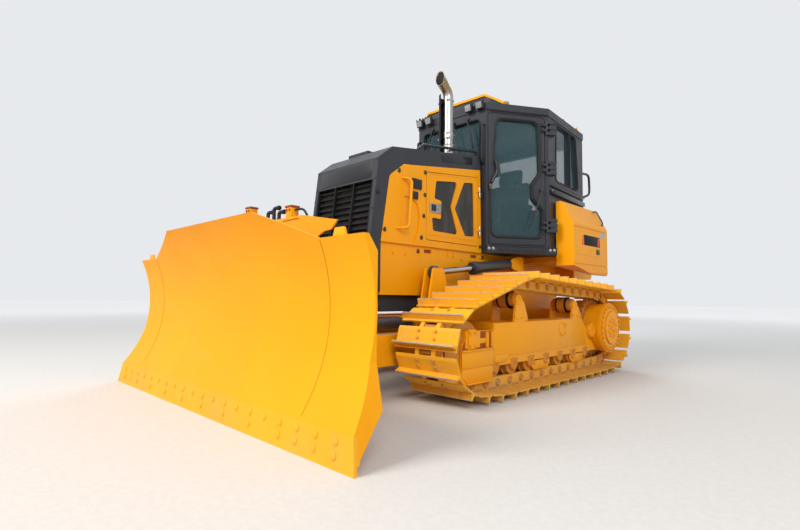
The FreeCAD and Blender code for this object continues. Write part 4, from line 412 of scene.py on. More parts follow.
@dataclass(frozen=True)
class Cloth:
    """Woven seat cover."""

    name: str
    colour: Colour
    thread: float = 0.0016

    def build(self) -> bpy.types.Material:
        """Make the material."""
        graph = Graph(self.name)
        turn = 2 * math.pi / self.thread / 20.0
        wave = {"Scale": turn, "Distortion": 0.4}
        across = graph.node("ShaderNodeTexWave", {"bands_direction": "X"},
                            {"Vector": graph.place(), **wave})
        up = graph.node("ShaderNodeTexWave", {"bands_direction": "Z"}, {"Vector": graph.place(), **wave})
        weave = across.maximum(up)
        pale = tuple(c * 1.8 for c in self.colour)
        graph.set(Base_Color=graph.mix(weave, self.colour, pale), Roughness=0.9, Sheen_Weight=0.3,
                  Normal=graph.bump(weave, 0.0006))
        return graph.material


class Finish(Enum):
    """Every finish of the machine, each built once."""

    YELLOW = Paint("yellow_paint", PAINT_YELLOW, PAINT_SHADE)
    BLADE = Paint("blade_paint", PAINT_YELLOW, PAINT_SHADE, roughness=0.42, coat=0.05, dust=0.04,
                  dust_top=0.5, streaks=0.02, specular=0.12)
    EDGE = Paint("cutting_edge_paint", (0.88, 0.41, 0.008), (0.78, 0.34, 0.008), roughness=0.45,
                 coat=0.05, dust=0.20, dust_top=0.4, streaks=0.08)
    CHARCOAL = Paint("charcoal_paint", (0.032, 0.034, 0.042), (0.025, 0.027, 0.034), roughness=0.42,
                     coat=0.06, peel=0.0007, dust=0.05, specular=0.30)
    BLACK = Plain("black_paint", (0.009, 0.009, 0.010), 0.50, specular=0.14)
    BARREL = Paint("cylinder_paint", (0.030, 0.032, 0.038), (0.024, 0.025, 0.030), roughness=0.32,
                   coat=0.3, dust=0.08, specular=0.35)
    SHOE = TrackPaint("shoe_paint", (0.86, 0.40, 0.010), 0.40)
    ROLLER = TrackPaint("roller_paint", (0.60, 0.22, 0.008), 0.60)
    SHOE_BOLT = TrackPaint("shoe_bolt_paint", (0.66, 0.30, 0.02), 0.6, 0.45)
    LINK = TrackPaint("link_paint", (0.60, 0.22, 0.008), 0.60)
    WORN = Metal("worn_steel", (0.62, 0.58, 0.50), 0.38, (0.2, 1.0, 1.0), 0.2)
    SEAM = Paint("seam_paint", (0.50, 0.20, 0.004), (0.44, 0.17, 0.004), roughness=0.5, coat=0.1)
    CHROME = Metal("chrome_rod", (0.50, 0.50, 0.52), 0.10, (1.0, 0.05, 1.0), 0.05)
    STEEL = Metal("plated_steel", (0.46, 0.45, 0.42), 0.32)
    DARK_STEEL = Metal("dark_steel", (0.16, 0.155, 0.15), 0.42)
    EXHAUST = Exhaust("exhaust_steel")
    GLASS = Glass("tinted_glass", (0.034, 0.100, 0.115), 0.34)
    RUBBER = Plain("rubber", (0.014, 0.014, 0.015), 0.62, 220.0, 0.0006)
    PLASTIC = Plain("black_plastic", (0.022, 0.022, 0.024), 0.50)
    LENS = Plain("lamp_lens", (0.22, 0.23, 0.24), 0.16, 40.0, 0.001, 0.0, 0.3)
    RED_LENS = Plain("red_lens", (0.50, 0.012, 0.010), 0.15, 60.0, 0.0008, 0.0, 0.8)
    AMBER_LENS = Plain("amber_lens", (0.75, 0.22, 0.01), 0.15, 60.0, 0.0008, 0.0, 0.8)
    MESH = Mesh("punched_sheet", (0.030, 0.031, 0.028))
    SCREEN = Mesh("radiator_screen", (0.055, 0.056, 0.050), 0.013, (1.0, 0.0, 1.0))
    BRONZE = Metal("bronze_handle", (0.13, 0.095, 0.06), 0.30)
    TRIM = Paint("black_trim", (0.016, 0.016, 0.018), (0.012, 0.012, 0.014), roughness=0.30, coat=0.4,
                 dust=0.08)
    PLATE = Plain("blank_plate", (0.008, 0.008, 0.009), 0.50, 90.0, 0.0001, 0.0, 0.0, 0.15)
    FLASH = Plain("orange_flash", (0.80, 0.075, 0.010), 0.35)
    LABEL = Plain("grey_label", (0.30, 0.31, 0.31), 0.45)
    # Red-brown painted shade, put on the track frame's recess, the floors of the chassis' slots and the lids on
    # the mast.
    SHADE_BROWN = Plain("painted_shade_brown", (0.26, 0.055, 0.012), 0.7, 60.0, 0.001)
    SCREENGLOW = Plain("display", (0.020, 0.035, 0.040), 0.12, 40.0, 0.0001, 0.0, 0.8)
    CLOTH = Cloth("seat_cloth", (0.020, 0.021, 0.024))
    IRON = Plain("cast_iron", (0.060, 0.058, 0.055), 0.65, 90.0, 0.001)
    ALUMINIUM = Metal("radiator_core", (0.25, 0.25, 0.25), 0.5)


class PaintShop:
    """Builds each finish once and puts it on objects."""

    nodes = {
        Finish.BLADE: "blade",
        Finish.EDGE: "cutting_edge",
        Finish.YELLOW: "swing_frame push_frame chassis side_panel_left side_panel_right "
                       "engine_door_left engine_door_right fender_left fender_right fuel_tank "
                       "track_frame_left track_frame_right final_drives drawbar roof_visor_front "
                       "roof_visor_rear",
        Finish.SHOE: "track_left track_right",
        Finish.ROLLER: "track_rollers_left track_rollers_right carrier_rollers idlers sprockets",
        Finish.CHARCOAL: "nose hood_cover radiator_lid cab_base cab_frame cab_roof cab_door_left "
                         "cab_door_right belly_guard",
        Finish.BARREL: "lift_barrel_left lift_barrel_right angle_barrel_left angle_barrel_right "
                       "tilt_barrel",
        Finish.BLACK: "grille console stack_shield",
        Finish.TRIM: "hood_handrail",
        Finish.MESH: "engine_mesh_left engine_mesh_right",
        Finish.CHROME: "lift_rod_left lift_rod_right angle_rod_left angle_rod_right tilt_rod",
        Finish.EXHAUST: "exhaust_stack",
        Finish.GLASS: "cab_glass door_glass_left door_glass_right",
        Finish.CLOTH: "seat",
        Finish.IRON: "engine",
        Finish.ALUMINIUM: "radiator",
    }

    def __init__(self) -> None:
        """Start with no material made."""
        self.made: dict[Finish, bpy.types.Material] = {}

    def material(self, finish: Finish) -> bpy.types.Material:
        """The finish's material, built on first use."""
        if finish not in self.made:
            self.made[finish] = finish.value.build()
        return self.made[finish]

    def coat(self, piece: bpy.types.Object, finish: Finish) -> bpy.types.Object:
        """Put a finish on a piece and return the piece."""
        piece.data.materials.clear()
        piece.data.materials.append(self.material(finish))
        return piece

    def coat_frame(self, frame: dict) -> None:
        """Put the finishes on the frame's own nodes.
        """
        for finish, names in self.nodes.items():
            for name in names.split():
                node = frame["nodes"][name]
                for item in node.material_slots:
                    item.material = self.material(finish)
                LOG.info("finish %s on %s", finish.name.lower(), name)


def aimed(name: str) -> bpy.types.Object:
    """The object that the last operator made, under a new name."""
    made = bpy.context.object
    made.name = made.data.name = name
    return made


class Bench:
    """Models pieces with the hand operators and mounts them on the frame."""

    def __init__(self, shop: PaintShop) -> None:
        """Start with no piece mounted.

        Args:
            shop: Where finishes come from.
        """
        self.shop = shop
        self.mounted = 0

    def settle(self, piece: bpy.types.Object) -> bpy.types.Object:
        """Move a piece's place, turn and scale into its mesh."""
        bpy.ops.object.select_all(action="DESELECT")
        piece.select_set(True)
        bpy.context.view_layer.objects.active = piece
        bpy.ops.object.transform_apply(location=True, rotation=True, scale=True)
        return piece

    def soften(self, piece: bpy.types.Object, width: float, segments: int = 2,
               angle: float = 35.0) -> bpy.types.Object:
        """Bevel the edges sharper than an angle in degrees and smooth what is left."""
        bpy.ops.object.select_all(action="DESELECT")
        piece.select_set(True)
        bpy.context.view_layer.objects.active = piece
        if width > 0:
            bevel = piece.modifiers.new("edges", "BEVEL")
            bevel.width, bevel.segments = width, segments
            bevel.limit_method, bevel.angle_limit = "ANGLE", math.radians(angle)
            bpy.ops.object.modifier_apply(modifier=bevel.name)
        bpy.ops.object.shade_smooth_by_angle(angle=math.radians(32.0))
        return piece

    def slab(self, name: str, centre: Point, size: Point, bevel: float = 0.003,
             turn: Point = (0.0, 0.0, 0.0), segments: int = 2) -> bpy.types.Object:
        """A block with softened edges.

        Args:
            name: The piece's name.
            centre: Its middle.
            size: Its three lengths.
            bevel: Width of its softened edges.
            turn: Its turn about X, Y and Z in radians.
            segments: Steps across a softened edge.

        Returns:
            The block.
        """
        bpy.ops.object.select_all(action="DESELECT")
        bpy.ops.mesh.primitive_cube_add(size=1.0, location=centre, rotation=turn)
        piece = aimed(name)
        piece.scale = size
        return self.soften(self.settle(piece), min(bevel, min(size) * 0.45), segments)

    def drum(self, name: str, centre: Point, radius: float, length: float, axis: Axis = Axis.X,
             sides: int = 32, bevel: float = 0.002, recess: tuple[float, float] = (0.0, 0.0),
             turn: Point | None = None) -> bpy.types.Object:
        """A round piece, with each end sunk if a recess of (border, depth) is given.

        Args:
            name: The piece's name.
            centre: Its middle.
            radius: Its radius.
            length: Its length along its axis.
            axis: The axis it points along.
            sides: Flats round it.
            bevel: Width of its softened rims.
            recess: Border and depth of a sunk round in each end.
            turn: Its turn in radians, where it points along no axis.

        Returns:
            The round piece.
        """
        bpy.ops.object.select_all(action="DESELECT")
        bpy.ops.mesh.primitive_cylinder_add(vertices=sides, radius=radius, depth=length)
        piece = aimed(name)
        if recess[0]:
            bpy.ops.object.mode_set(mode="EDIT")
            bpy.ops.mesh.select_mode(type="FACE")
            bpy.ops.mesh.select_all(action="DESELECT")
            form = bmesh.from_edit_mesh(piece.data)
            for face in form.faces:
                face.select = abs(face.normal.z) > 0.9
            bmesh.update_edit_mesh(piece.data)
            bpy.ops.mesh.inset(thickness=recess[0], use_individual=True)
            bpy.ops.mesh.inset(thickness=abs(recess[1]) * 0.3, depth=-recess[1], use_individual=True)
            bpy.ops.object.mode_set(mode="OBJECT")
        piece.rotation_euler = turn or axis.value
        piece.location = centre
        return self.soften(self.settle(piece), min(bevel, length * 0.3))

    def panel(self, name: str, outline: Sequence[tuple[float, float]], axis: Axis, start: float,
              depth: float, bevel: float = 0.003, segments: int = 2) -> bpy.types.Object:
        """A plate with a given outline, drawn out along an axis.

        Args:
            name: The piece's name.
            outline: Corners as (Y, Z) across X, (X, Z) across Y or (X, Y) across Z.
            axis: The axis it is drawn out along.
            start: Where it starts on that axis.
            depth: How far it is drawn out.
            bevel: Width of its softened edges.
            segments: Steps across a softened edge.

        Returns:
            The plate.
        """
        bpy.ops.object.select_all(action="DESELECT")
        bpy.ops.mesh.primitive_circle_add(vertices=len(outline), fill_type="NGON")
        piece = aimed(name)
        bpy.ops.object.mode_set(mode="EDIT")
        form = bmesh.from_edit_mesh(piece.data)
        form.verts.ensure_lookup_table()
        for vertex, (first, second) in zip(form.verts, outline):
            vertex.co = {Axis.X: (start, first, second), Axis.Y: (first, start, second),
                         Axis.Z: (first, second, start)}[axis]
        bmesh.update_edit_mesh(piece.data)
        bpy.ops.mesh.select_all(action="SELECT")
        along = {Axis.X: (depth, 0, 0), Axis.Y: (0, depth, 0), Axis.Z: (0, 0, depth)}[axis]
        bpy.ops.mesh.extrude_region_move(TRANSFORM_OT_translate={"value": along})
        bpy.ops.mesh.select_all(action="SELECT")
        bpy.ops.mesh.normals_make_consistent(inside=False)
        bpy.ops.object.mode_set(mode="OBJECT")
        return self.soften(piece, bevel, segments)

    def tube(self, name: str, route: Sequence[Point], radius: float, bend: float = 0.03,
             sides: int = 3, steps: int = 6) -> bpy.types.Object:
        """A round bar or hose along a route with rounded bends.

        Args:
            name: The piece's name.
            route: Corners of its centre line.
            radius: Its radius.
            bend: How far from a corner its bend starts.
            sides: Fineness of its round.
            steps: Steps round a bend.

        Returns:
            The bar as a closed mesh.
        """
        points = [Vector(route[0])]
        for before, corner, after in zip(route, route[1:], route[2:]):
            before, corner, after = Vector(before), Vector(corner), Vector(after)
            reach = min(bend, (before - corner).length * 0.45, (after - corner).length * 0.45)
            enter = corner + (before - corner).normalized() * reach
            leave = corner + (after - corner).normalized() * reach
            for step in range(steps + 1):
                share = step / steps
                first, second = enter.lerp(corner, share), corner.lerp(leave, share)
                points.append(first.lerp(second, share))
        points.append(Vector(route[-1]))
        bpy.ops.object.select_all(action="DESELECT")
        bpy.ops.curve.primitive_bezier_curve_add()
        piece = aimed(name)
        piece.data.splines.clear()
        line = piece.data.splines.new("POLY")
        line.points.add(len(points) - 1)
        for spot, place in zip(line.points, points):
            spot.co = (*place, 1.0)
        piece.data.dimensions = "3D"
        piece.data.bevel_depth = radius
        piece.data.bevel_resolution = sides
        piece.data.use_fill_caps = True
        bpy.ops.object.convert(target="MESH")
        return self.soften(self.settle(aimed(name)), 0.0)

    def ring(self, name: str, centre: Point, axis: Axis, profile: Sequence[tuple[float, float]],
             sides: int = 36, turn: Point | None = None) -> bpy.types.Object:
        """A turned piece: a profile of (radius, height) swept round an axis.

        Args:
            name: The piece's name.
            centre: Where the profile's height is 0.
            axis: The axis it is turned about.
            profile: Corners of the section.
            sides: Steps round it.
            turn: Its turn in radians, where it points along no axis.

        Returns:
            The turned piece.
        """
        bpy.ops.object.select_all(action="DESELECT")
        bpy.ops.mesh.primitive_circle_add(vertices=len(profile), fill_type="NOTHING")
        piece = aimed(name)
        bpy.ops.object.mode_set(mode="EDIT")
        form = bmesh.from_edit_mesh(piece.data)
        form.verts.ensure_lookup_table()
        for vertex, (radius, height) in zip(form.verts, profile):
            vertex.co = (radius, 0.0, height)
        bmesh.update_edit_mesh(piece.data)
        bpy.ops.mesh.select_all(action="SELECT")
        bpy.ops.mesh.spin(steps=sides, angle=2 * math.pi, center=(0, 0, 0), axis=(0, 0, 1))
        bpy.ops.mesh.select_all(action="SELECT")
        bpy.ops.mesh.remove_doubles(threshold=0.00005)
        bpy.ops.mesh.normals_make_consistent(inside=False)
        bpy.ops.object.mode_set(mode="OBJECT")
        piece.rotation_euler = turn or axis.value
        piece.location = centre
        return self.soften(self.settle(piece), 0.0)

    def bolt(self, name: str, centre: Point, radius: float, axis: Axis, sign: float = 1.0,
             height: float = 0.0, washer: bool = True, turn: Point | None = None) -> bpy.types.Object:
        """A hexagon head on its washer, standing on a face.

        Args:
            name: The piece's name.
            centre: Middle of its foot on the face.
            radius: From its middle to a corner of the head.
            axis: The axis it stands along.
            sign: 1 where it points up the axis and -1 down it.
            height: Height of the head, or 0 for the usual share of its radius.
            washer: Whether a washer lies under it.
            turn: Its turn in radians, where it stands along no axis.

        Returns:
            The bolt.
        """
        height = height or radius * 0.75
        bpy.ops.object.select_all(action="DESELECT")
        bpy.ops.mesh.primitive_cylinder_add(vertices=6, radius=radius, depth=height,
                                            location=(0, 0, height / 2 + radius * 0.12))
        piece = aimed(name)
        bpy.ops.object.mode_set(mode="EDIT")
        bpy.ops.mesh.select_mode(type="FACE")
        bpy.ops.mesh.select_all(action="DESELECT")
        form = bmesh.from_edit_mesh(piece.data)
        for face in form.faces:
            face.select = face.normal.z > 0.9
        bmesh.update_edit_mesh(piece.data)
        bpy.ops.mesh.inset(thickness=radius * 0.16, depth=radius * 0.10)
        if washer:
            bpy.ops.mesh.select_all(action="DESELECT")
            bpy.ops.mesh.primitive_cylinder_add(vertices=14, radius=radius * 1.28,
                                                depth=radius * 0.16,
                                                location=(0, 0, radius * 0.08))
        bpy.ops.object.mode_set(mode="OBJECT")
        self.settle(piece)
        flip = {Axis.X: (0, math.pi / 2 * sign, 0), Axis.Y: (-math.pi / 2 * sign, 0, 0),
                Axis.Z: (0 if sign > 0 else math.pi, 0, 0)}[axis]
        piece.rotation_euler = turn or flip
        piece.location = centre
        return self.soften(self.settle(piece), 0.0)

    def copy(self, piece: bpy.types.Object, name: str, move: Point = (0.0, 0.0, 0.0),
             matrix: Matrix | None = None) -> bpy.types.Object:
        """A copy with its own mesh, moved or carried by a matrix."""
        made = piece.copy()
        made.data = piece.data.copy()
        made.name = made.data.name = name
        bpy.context.scene.collection.objects.link(made)
        made.data.transform(matrix if matrix is not None else Matrix.Translation(move))
        return made

    def mirrored(self, piece: bpy.types.Object, name: str) -> bpy.types.Object:
        """A copy on the machine's other side, with its faces turned outward again."""
        made = self.copy(piece, name, matrix=Matrix.Scale(-1.0, 4, (1.0, 0.0, 0.0)))
        made.data.flip_normals()
        return made

    def joined(self, name: str, pieces: Iterable[bpy.types.Object]) -> bpy.types.Object:
        """One object out of several."""
        pieces = list(pieces)
        bpy.ops.object.select_all(action="DESELECT")
        for piece in pieces:
            piece.select_set(True)
        bpy.context.view_layer.objects.active = pieces[0]
        if len(pieces) > 1:
            bpy.ops.object.join()
        return aimed(name)

    def spread(self, name: str, piece: bpy.types.Object, moves: Iterable[Point]) -> bpy.types.Object:
        """A piece repeated at several moves from its own place, as one object."""
        return self.scattered(name, piece, [Matrix.Translation(move) for move in moves])

    def scattered(self, name: str, piece: bpy.types.Object,
                  places: Iterable[Matrix]) -> bpy.types.Object:
        """A pattern made at the origin, repeated at several places as one object."""
        copies = [self.copy(piece, name, matrix=place) for place in places]
        bpy.data.objects.remove(piece)
        return self.joined(name, copies)

    def carried(self, piece: bpy.types.Object, place: Matrix) -> bpy.types.Object:
        """A piece made in a wall's own axes, carried to its place."""
        piece.data.transform(place)
        return piece

    def seal(self, name: str, outline: Sequence[tuple[float, float]], radius: float, out: float,
             place: Matrix) -> bpy.types.Object:
        """A round bead along a closed outline on a wall.

        Args:
            name: The piece's name.
            outline: Points as (along, up).
            radius: The bead's radius.
            out: How far its middle stands out of the wall.
            place: The wall.

        Returns:
            The bead.
        """
        route = [(along, -out, up) for along, up in [*outline, outline[0]]]
        return self.carried(self.tube(name, route, radius, bend=0.002, steps=1), place)

    def mount(self, piece: bpy.types.Object, body: str, finish: Finish) -> bpy.types.Object:
        """Finish a piece and hand it to a body of the frame.

        Args:
            piece: The piece.
            body: The body that it rides on.
            finish: Its finish.

        Returns:
            The piece.
        """
        self.shop.coat(piece, finish)
        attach(piece, body)
        self.mounted += 1
        LOG.info("piece %s on %s", piece.name, body)
        return piece

    def mount_pair(self, piece: bpy.types.Object, bodies: str, finish: Finish) -> None:
        """Mount a left piece, named with _left, and its mirrored copy.

        Args:
            piece: The left piece.
            bodies: The left piece's body; one that ends in _left gives way to its _right.
            finish: The finish of both.
        """
        other = self.mirrored(piece, piece.name.replace("_left", "_right"))
        self.mount(piece, bodies, finish)
        self.mount(other, bodies.replace("_left", "_right"), finish)


class Probe:
    """Finds where a straight line meets a node of the frame."""

    def __init__(self, node: bpy.types.Object) -> None:
        """Index a node's faces.

        Args:
            node: The node, whose mesh is in the frame's coordinates.
        """
        form = bmesh.new()
        form.from_mesh(node.data)
        self.tree = BVHTree.FromBMesh(form)
        form.free()

    def land(self, start: Point, heading: Point) -> tuple[Vector, Vector]:
        """Point and outward normal where the line meets the node.

        Args:
            start: Where the line starts.
            heading: Where it goes.

        Returns:
            The point and the normal there, turned against the heading.
        """
        point, normal, _, _ = self.tree.ray_cast(Vector(start), Vector(heading).normalized())
        if point is None:
            raise ValueError(f"a line from {start} misses the node")
        return point, normal if normal.dot(Vector(heading)) < 0 else -normal


def aim(normal: Vector) -> Point:
    """Turn that stands a piece made on Z upright on a face."""
    return tuple(normal.to_track_quat("Z", "Y").to_euler())


def wall(start: tuple[float, float], end: tuple[float, float]) -> Matrix:
    """Place on an upright wall: X along it, Z up it and -Y out of it, with heights from the ground.

    Args:
        start: Where the wall starts, as (side, distance behind the tip).
        end: A point further along it.

    Returns:
        The place as a matrix.
    """
    along = Vector((end[0] - start[0], end[1] - start[1], 0.0)).normalized()
    inward = Vector((-along.y, along.x, 0.0))
    turn = Matrix((along, inward, Vector((0.0, 0.0, 1.0)))).transposed().to_4x4()
    return Matrix.Translation((start[0], station(start[1]), 0.0)) @ turn


def rounded(corners: Sequence[Corner], steps: int = 5) -> list[tuple[float, float]]:
    """Outline with its corners cut to short chords, from corners of (across, up, radius)."""
    made = []
    for i, (across, up, radius) in enumerate(corners):
        corner = Vector((across, up))
        before = (Vector(corners[i - 1][:2]) - corner).normalized()
        after = (Vector(corners[(i + 1) % len(corners)][:2]) - corner).normalized()
        reach = radius / math.tan(before.angle(after) / 2)
        for step in range(steps + 1):
            share = step / steps
            first = (corner + before * reach).lerp(corner, share)
            made.append(tuple(first.lerp(corner.lerp(corner + after * reach, share), share)))
    return made


def grown(outline: Sequence[tuple[float, float]], margin: float) -> list[tuple[float, float]]:
    """A clockwise outline moved outward by a margin."""
    made = []
    for i, point in enumerate(outline):
        before, after = Vector(outline[i - 1]), Vector(outline[(i + 1) % len(outline)])
        run = (after - before).normalized()
        made.append((point[0] - run.y * margin, point[1] + run.x * margin))
    return made


DOOR_WALL = wall((0.452, 2.640), (0.820, 3.225))
SIDE_WALL = wall((0.820, 3.225), (0.735, 4.225))
FRONT_WALL = wall((0.0, 2.640), (1.0, 2.640))
HOOD_WALL = wall((0.402, 0.0), (0.402, 1.0))
FENDER_WALL = wall((1.020, 0.0), (1.020, 1.0))


@dataclass
class BladeDressing:
    """Trim of the blade: bolts of its edges, seams of its outer panels and a lifting tab at each side."""

    seam_side: float = 1.153
    bolt_radius: float = 0.019
    bolt_pitch: float = 0.152
    edge_rows: tuple[float, float] = (0.058, 0.118)
    seam_radius: float = 0.0035
    tab_side: float = 1.30

    def dress(self, bench: Bench, nodes: dict) -> None:
        """Build and mount every piece.

        Args:
            bench: Where the pieces are made.
            nodes: The frame's nodes.
        """
        blade, edge = Probe(nodes["blade"]), Probe(nodes["cutting_edge"])
        self.dress_edges(bench, edge)
        self.dress_seams(bench, blade)
        self.dress_top(bench, blade)

    def dress_edges(self, bench: Bench, edge: Probe) -> None:
        """Flush plough bolts along the cutting edge and a pair of rows at each end bit."""
        heads = []
        count = int(2.9 / self.bolt_pitch)
        for row in self.edge_rows:
            for i in range(count + 1):
                side = -1.45 + 2.9 * i / count
                if row == self.edge_rows[0] and 2 < i < count - 2 and i % 2:
                    continue
                point, normal = edge.land((side, -3.0, row), (0, 1, 0))
                heads.append(bench.drum("edge_bolt", tuple(point + normal * 0.002), self.bolt_radius,
                                        0.005, sides=16, bevel=0.001, recess=(0.006, -0.0015),
                                        turn=aim(normal)))
        bench.mount(bench.joined("edge_bolts", heads), "blade", Finish.EDGE)

    def dress_seams(self, bench: Bench, blade: Probe) -> None:
        """Weld bead down each line where an outer panel meets the middle."""
        for side, sign in SIDES:
            route = []
            for step in range(27):
                height = 0.175 + (1.052 - 0.175) * step / 26
                point, normal = blade.land((sign * self.seam_side, -3.0, height), (0, 1, 0))
                route.append(tuple(point - normal * 0.0012))
            seam = bench.tube(f"blade_seam_{side}", route, self.seam_radius, bend=0.01, steps=1)
            bench.mount(seam, "blade", Finish.SEAM)

    def dress_top(self, bench: Bench, blade: Probe) -> None:
        """Lifting tab on the blade's top edge at each side."""
        for side, sign in SIDES:
            point, _ = blade.land((sign * self.tab_side, station(0.13), 1.6), (0, 0, -1))
            y, z = point.y, point.z
            tab = bench.panel(f"lifting_tab_{side}", [
                (sign * (self.tab_side - 0.06), z - 0.02), (sign * (self.tab_side + 0.06), z - 0.02),
                (sign * (self.tab_side + 0.035), z + 0.045), (sign * (self.tab_side - 0.035), z + 0.045)],
                Axis.Y, y + 0.004, 0.016)
            bench.mount(tab, "blade", Finish.YELLOW)


@dataclass
class TrackPath:
    """The chain's line round the wheels, as the frame's tracks follow it."""

    shoes: int = 39
    rail: float = 0.088
    shoe: float = 0.011
    grouser: float = 0.046
    roller: float = 0.088
    wheels: tuple[Point, ...] = ((1.490, 0.392, 0.205), (2.225, 0.749, 0.062),
                                 (3.270, 0.698, 0.062), (3.890, 0.458, 0.292))
    ends: tuple[float, float] = (3.480, 1.880)

    def circles(self, pitch: float) -> list[Point]:
        """Circles through the chain's pins for a given pitch: station, height and radius."""
        made = [(a, b, math.hypot(c + self.rail / 2, pitch / 2)) for a, b, c in self.wheels]
        ground = self.grouser + self.shoe + self.rail / 2 + self.roller
        made.append((self.ends[0] + pitch / 2, ground, self.roller))
        made.append((self.ends[1] - pitch / 2, ground, self.roller))
        return made

    def walk(self, circles: list[Point]) -> tuple[list[Vector], float]:
        """Pins at equal steps along a belt pulled round circles, and the belt's length."""
        number = len(circles)
        straights = []
        for i in range(number):
            y0, z0, r0 = circles[i]
            y1, z1, r1 = circles[(i + 1) % number]
            span = math.hypot(y1 - y0, z1 - z0)
            normal = math.atan2(z1 - z0, y1 - y0) + math.pi / 2 - math.asin((r0 - r1) / span)
            out = Vector((0.0, math.cos(normal), math.sin(normal)))
            straights.append((Vector((0, y0, z0)) + out * r0, Vector((0, y1, z1)) + out * r1, normal))
        parts = []
        for i in range(number):
            start, end, normal = straights[i]
            parts.append((start, end, None, 0.0, (end - start).length))
            y1, z1, r1 = circles[(i + 1) % number]
            sweep = (normal - straights[(i + 1) % number][2]) % (2 * math.pi)
            sweep = 0.0 if sweep > math.pi * 1.5 else sweep
            parts.append((Vector((0, y1, z1)), None, r1, normal, r1 * sweep))
        total = sum(part[4] for part in parts)
        points = []
        for k in range(self.shoes):
            along = total * k / self.shoes
            for start, end, radius, normal, length in parts:
                if along <= length:
                    break
                along -= length
            if radius is None:
                points.append(start + (end - start) * (along / length))
            else:
                angle = normal - along / radius
                points.append(start + Vector((0, math.cos(angle), math.sin(angle))) * radius)
        return points, total

    def links(self) -> list[Matrix]:
        """Place of each link: origin at the middle of its chord, Y ahead, Z outward, in the frame."""
        total = self.walk(self.circles(0.0))[1]
        points, total = self.walk(self.circles(total / self.shoes))
        made = []
        for i, start in enumerate(points):
            chord = points[(i + 1) % self.shoes] - start
            ahead = chord.normalized()
            outward = Vector((0.0, -ahead.z, ahead.y))
            turn = Matrix((Vector((1, 0, 0)), ahead, outward)).transposed().to_4x4()
            place = start + chord / 2 + Vector((0.0, FRONT_TIP, 0.0))
            made.append(Matrix.Translation(place) @ turn)
        return made


@dataclass
class TrackDressing:
    """What a plain belt lacks: bolts in each shoe, pins and webs of each link."""

    gauge: float = 1.88
    pitch: float = 0.1732
    rail_spacing: float = 0.150
    rail_thickness: float = 0.034
    bolt_across: float = 0.078
    bolt_along: tuple[float, float] = (-0.002, 0.052)
    path: TrackPath = field(default_factory=TrackPath)

    def dress(self, bench: Bench) -> None:
        """Build and mount every piece.

        Args:
            bench: Where the pieces are made.
        """
        links = self.path.links()
        middle = self.gauge / 2
        top = self.path.rail / 2 + self.path.shoe
        bolt = bench.joined("shoe_bolts_pattern", [
            bench.bolt("shoe_bolt", (sign * self.bolt_across, along, top), 0.0125, Axis.Z, washer=False)
            for sign in (-1, 1) for along in self.bolt_along])
        self.repeat(bench, "shoe_bolts", bolt, links, middle, Finish.SHOE_BOLT)
        side = self.rail_spacing / 2 + self.rail_thickness / 2
        pins = []
        for sign in (-1, 1):
            place = (sign * (side + 0.004), -self.pitch / 2, 0.0)
            pins.append(bench.drum("link_pin", place, 0.022, 0.014, sides=14, bevel=0.003,
                                   recess=(0.006, 0.003)))
            boss = (sign * (side + 0.0005), -self.pitch / 2, 0.0)
            pins.append(bench.drum("link_boss", boss, 0.034, 0.008, sides=18, bevel=0.002))
        bush = bench.drum("link_bush", (0.0, -self.pitch / 2, 0.0), 0.026,
                          self.rail_spacing - self.rail_thickness, sides=14, bevel=0.001)
        chain = bench.joined("chain_pins_pattern", [*pins, bush])
        self.repeat(bench, "chain_pins", chain, links, middle, Finish.LINK)
        webs = [bench.slab("link_web", (sign * (side + 0.002), 0.0, 0.036), (0.008, 0.098, 0.014), 0.002)
                for sign in (-1, 1)]
        self.repeat(bench, "chain_webs", bench.joined("chain_webs_pattern", webs), links, middle,
                    Finish.LINK)
        wear = bench.slab("worn_tip", (0.0, -self.pitch * 0.28, top + self.path.grouser - 0.0035),
                          (0.556, 0.0138, 0.0086), 0.002, segments=1)
        self.repeat(bench, "worn_tips", wear, links, middle, Finish.WORN)

    def repeat(self, bench: Bench, name: str, pattern: bpy.types.Object, links: list[Matrix],
               middle: float, finish: Finish) -> None:
        """Copy a link's trim to every link of both tracks.

        Args:
            bench: Where the pieces are made.
            name: The finished pieces' name.
            pattern: One link's trim, at the origin.
            links: The links' places.
            middle: Middle of the left track from the centre line.
            finish: The finish.
        """
        for side, sign in SIDES:
            shift = Matrix.Translation((sign * middle, 0.0, 0.0))
            copies = [bench.copy(pattern, name, matrix=shift @ place) for place in links]
            bench.mount(bench.joined(f"{name}_{side}", copies), "tractor", finish)
        bpy.data.objects.remove(pattern)


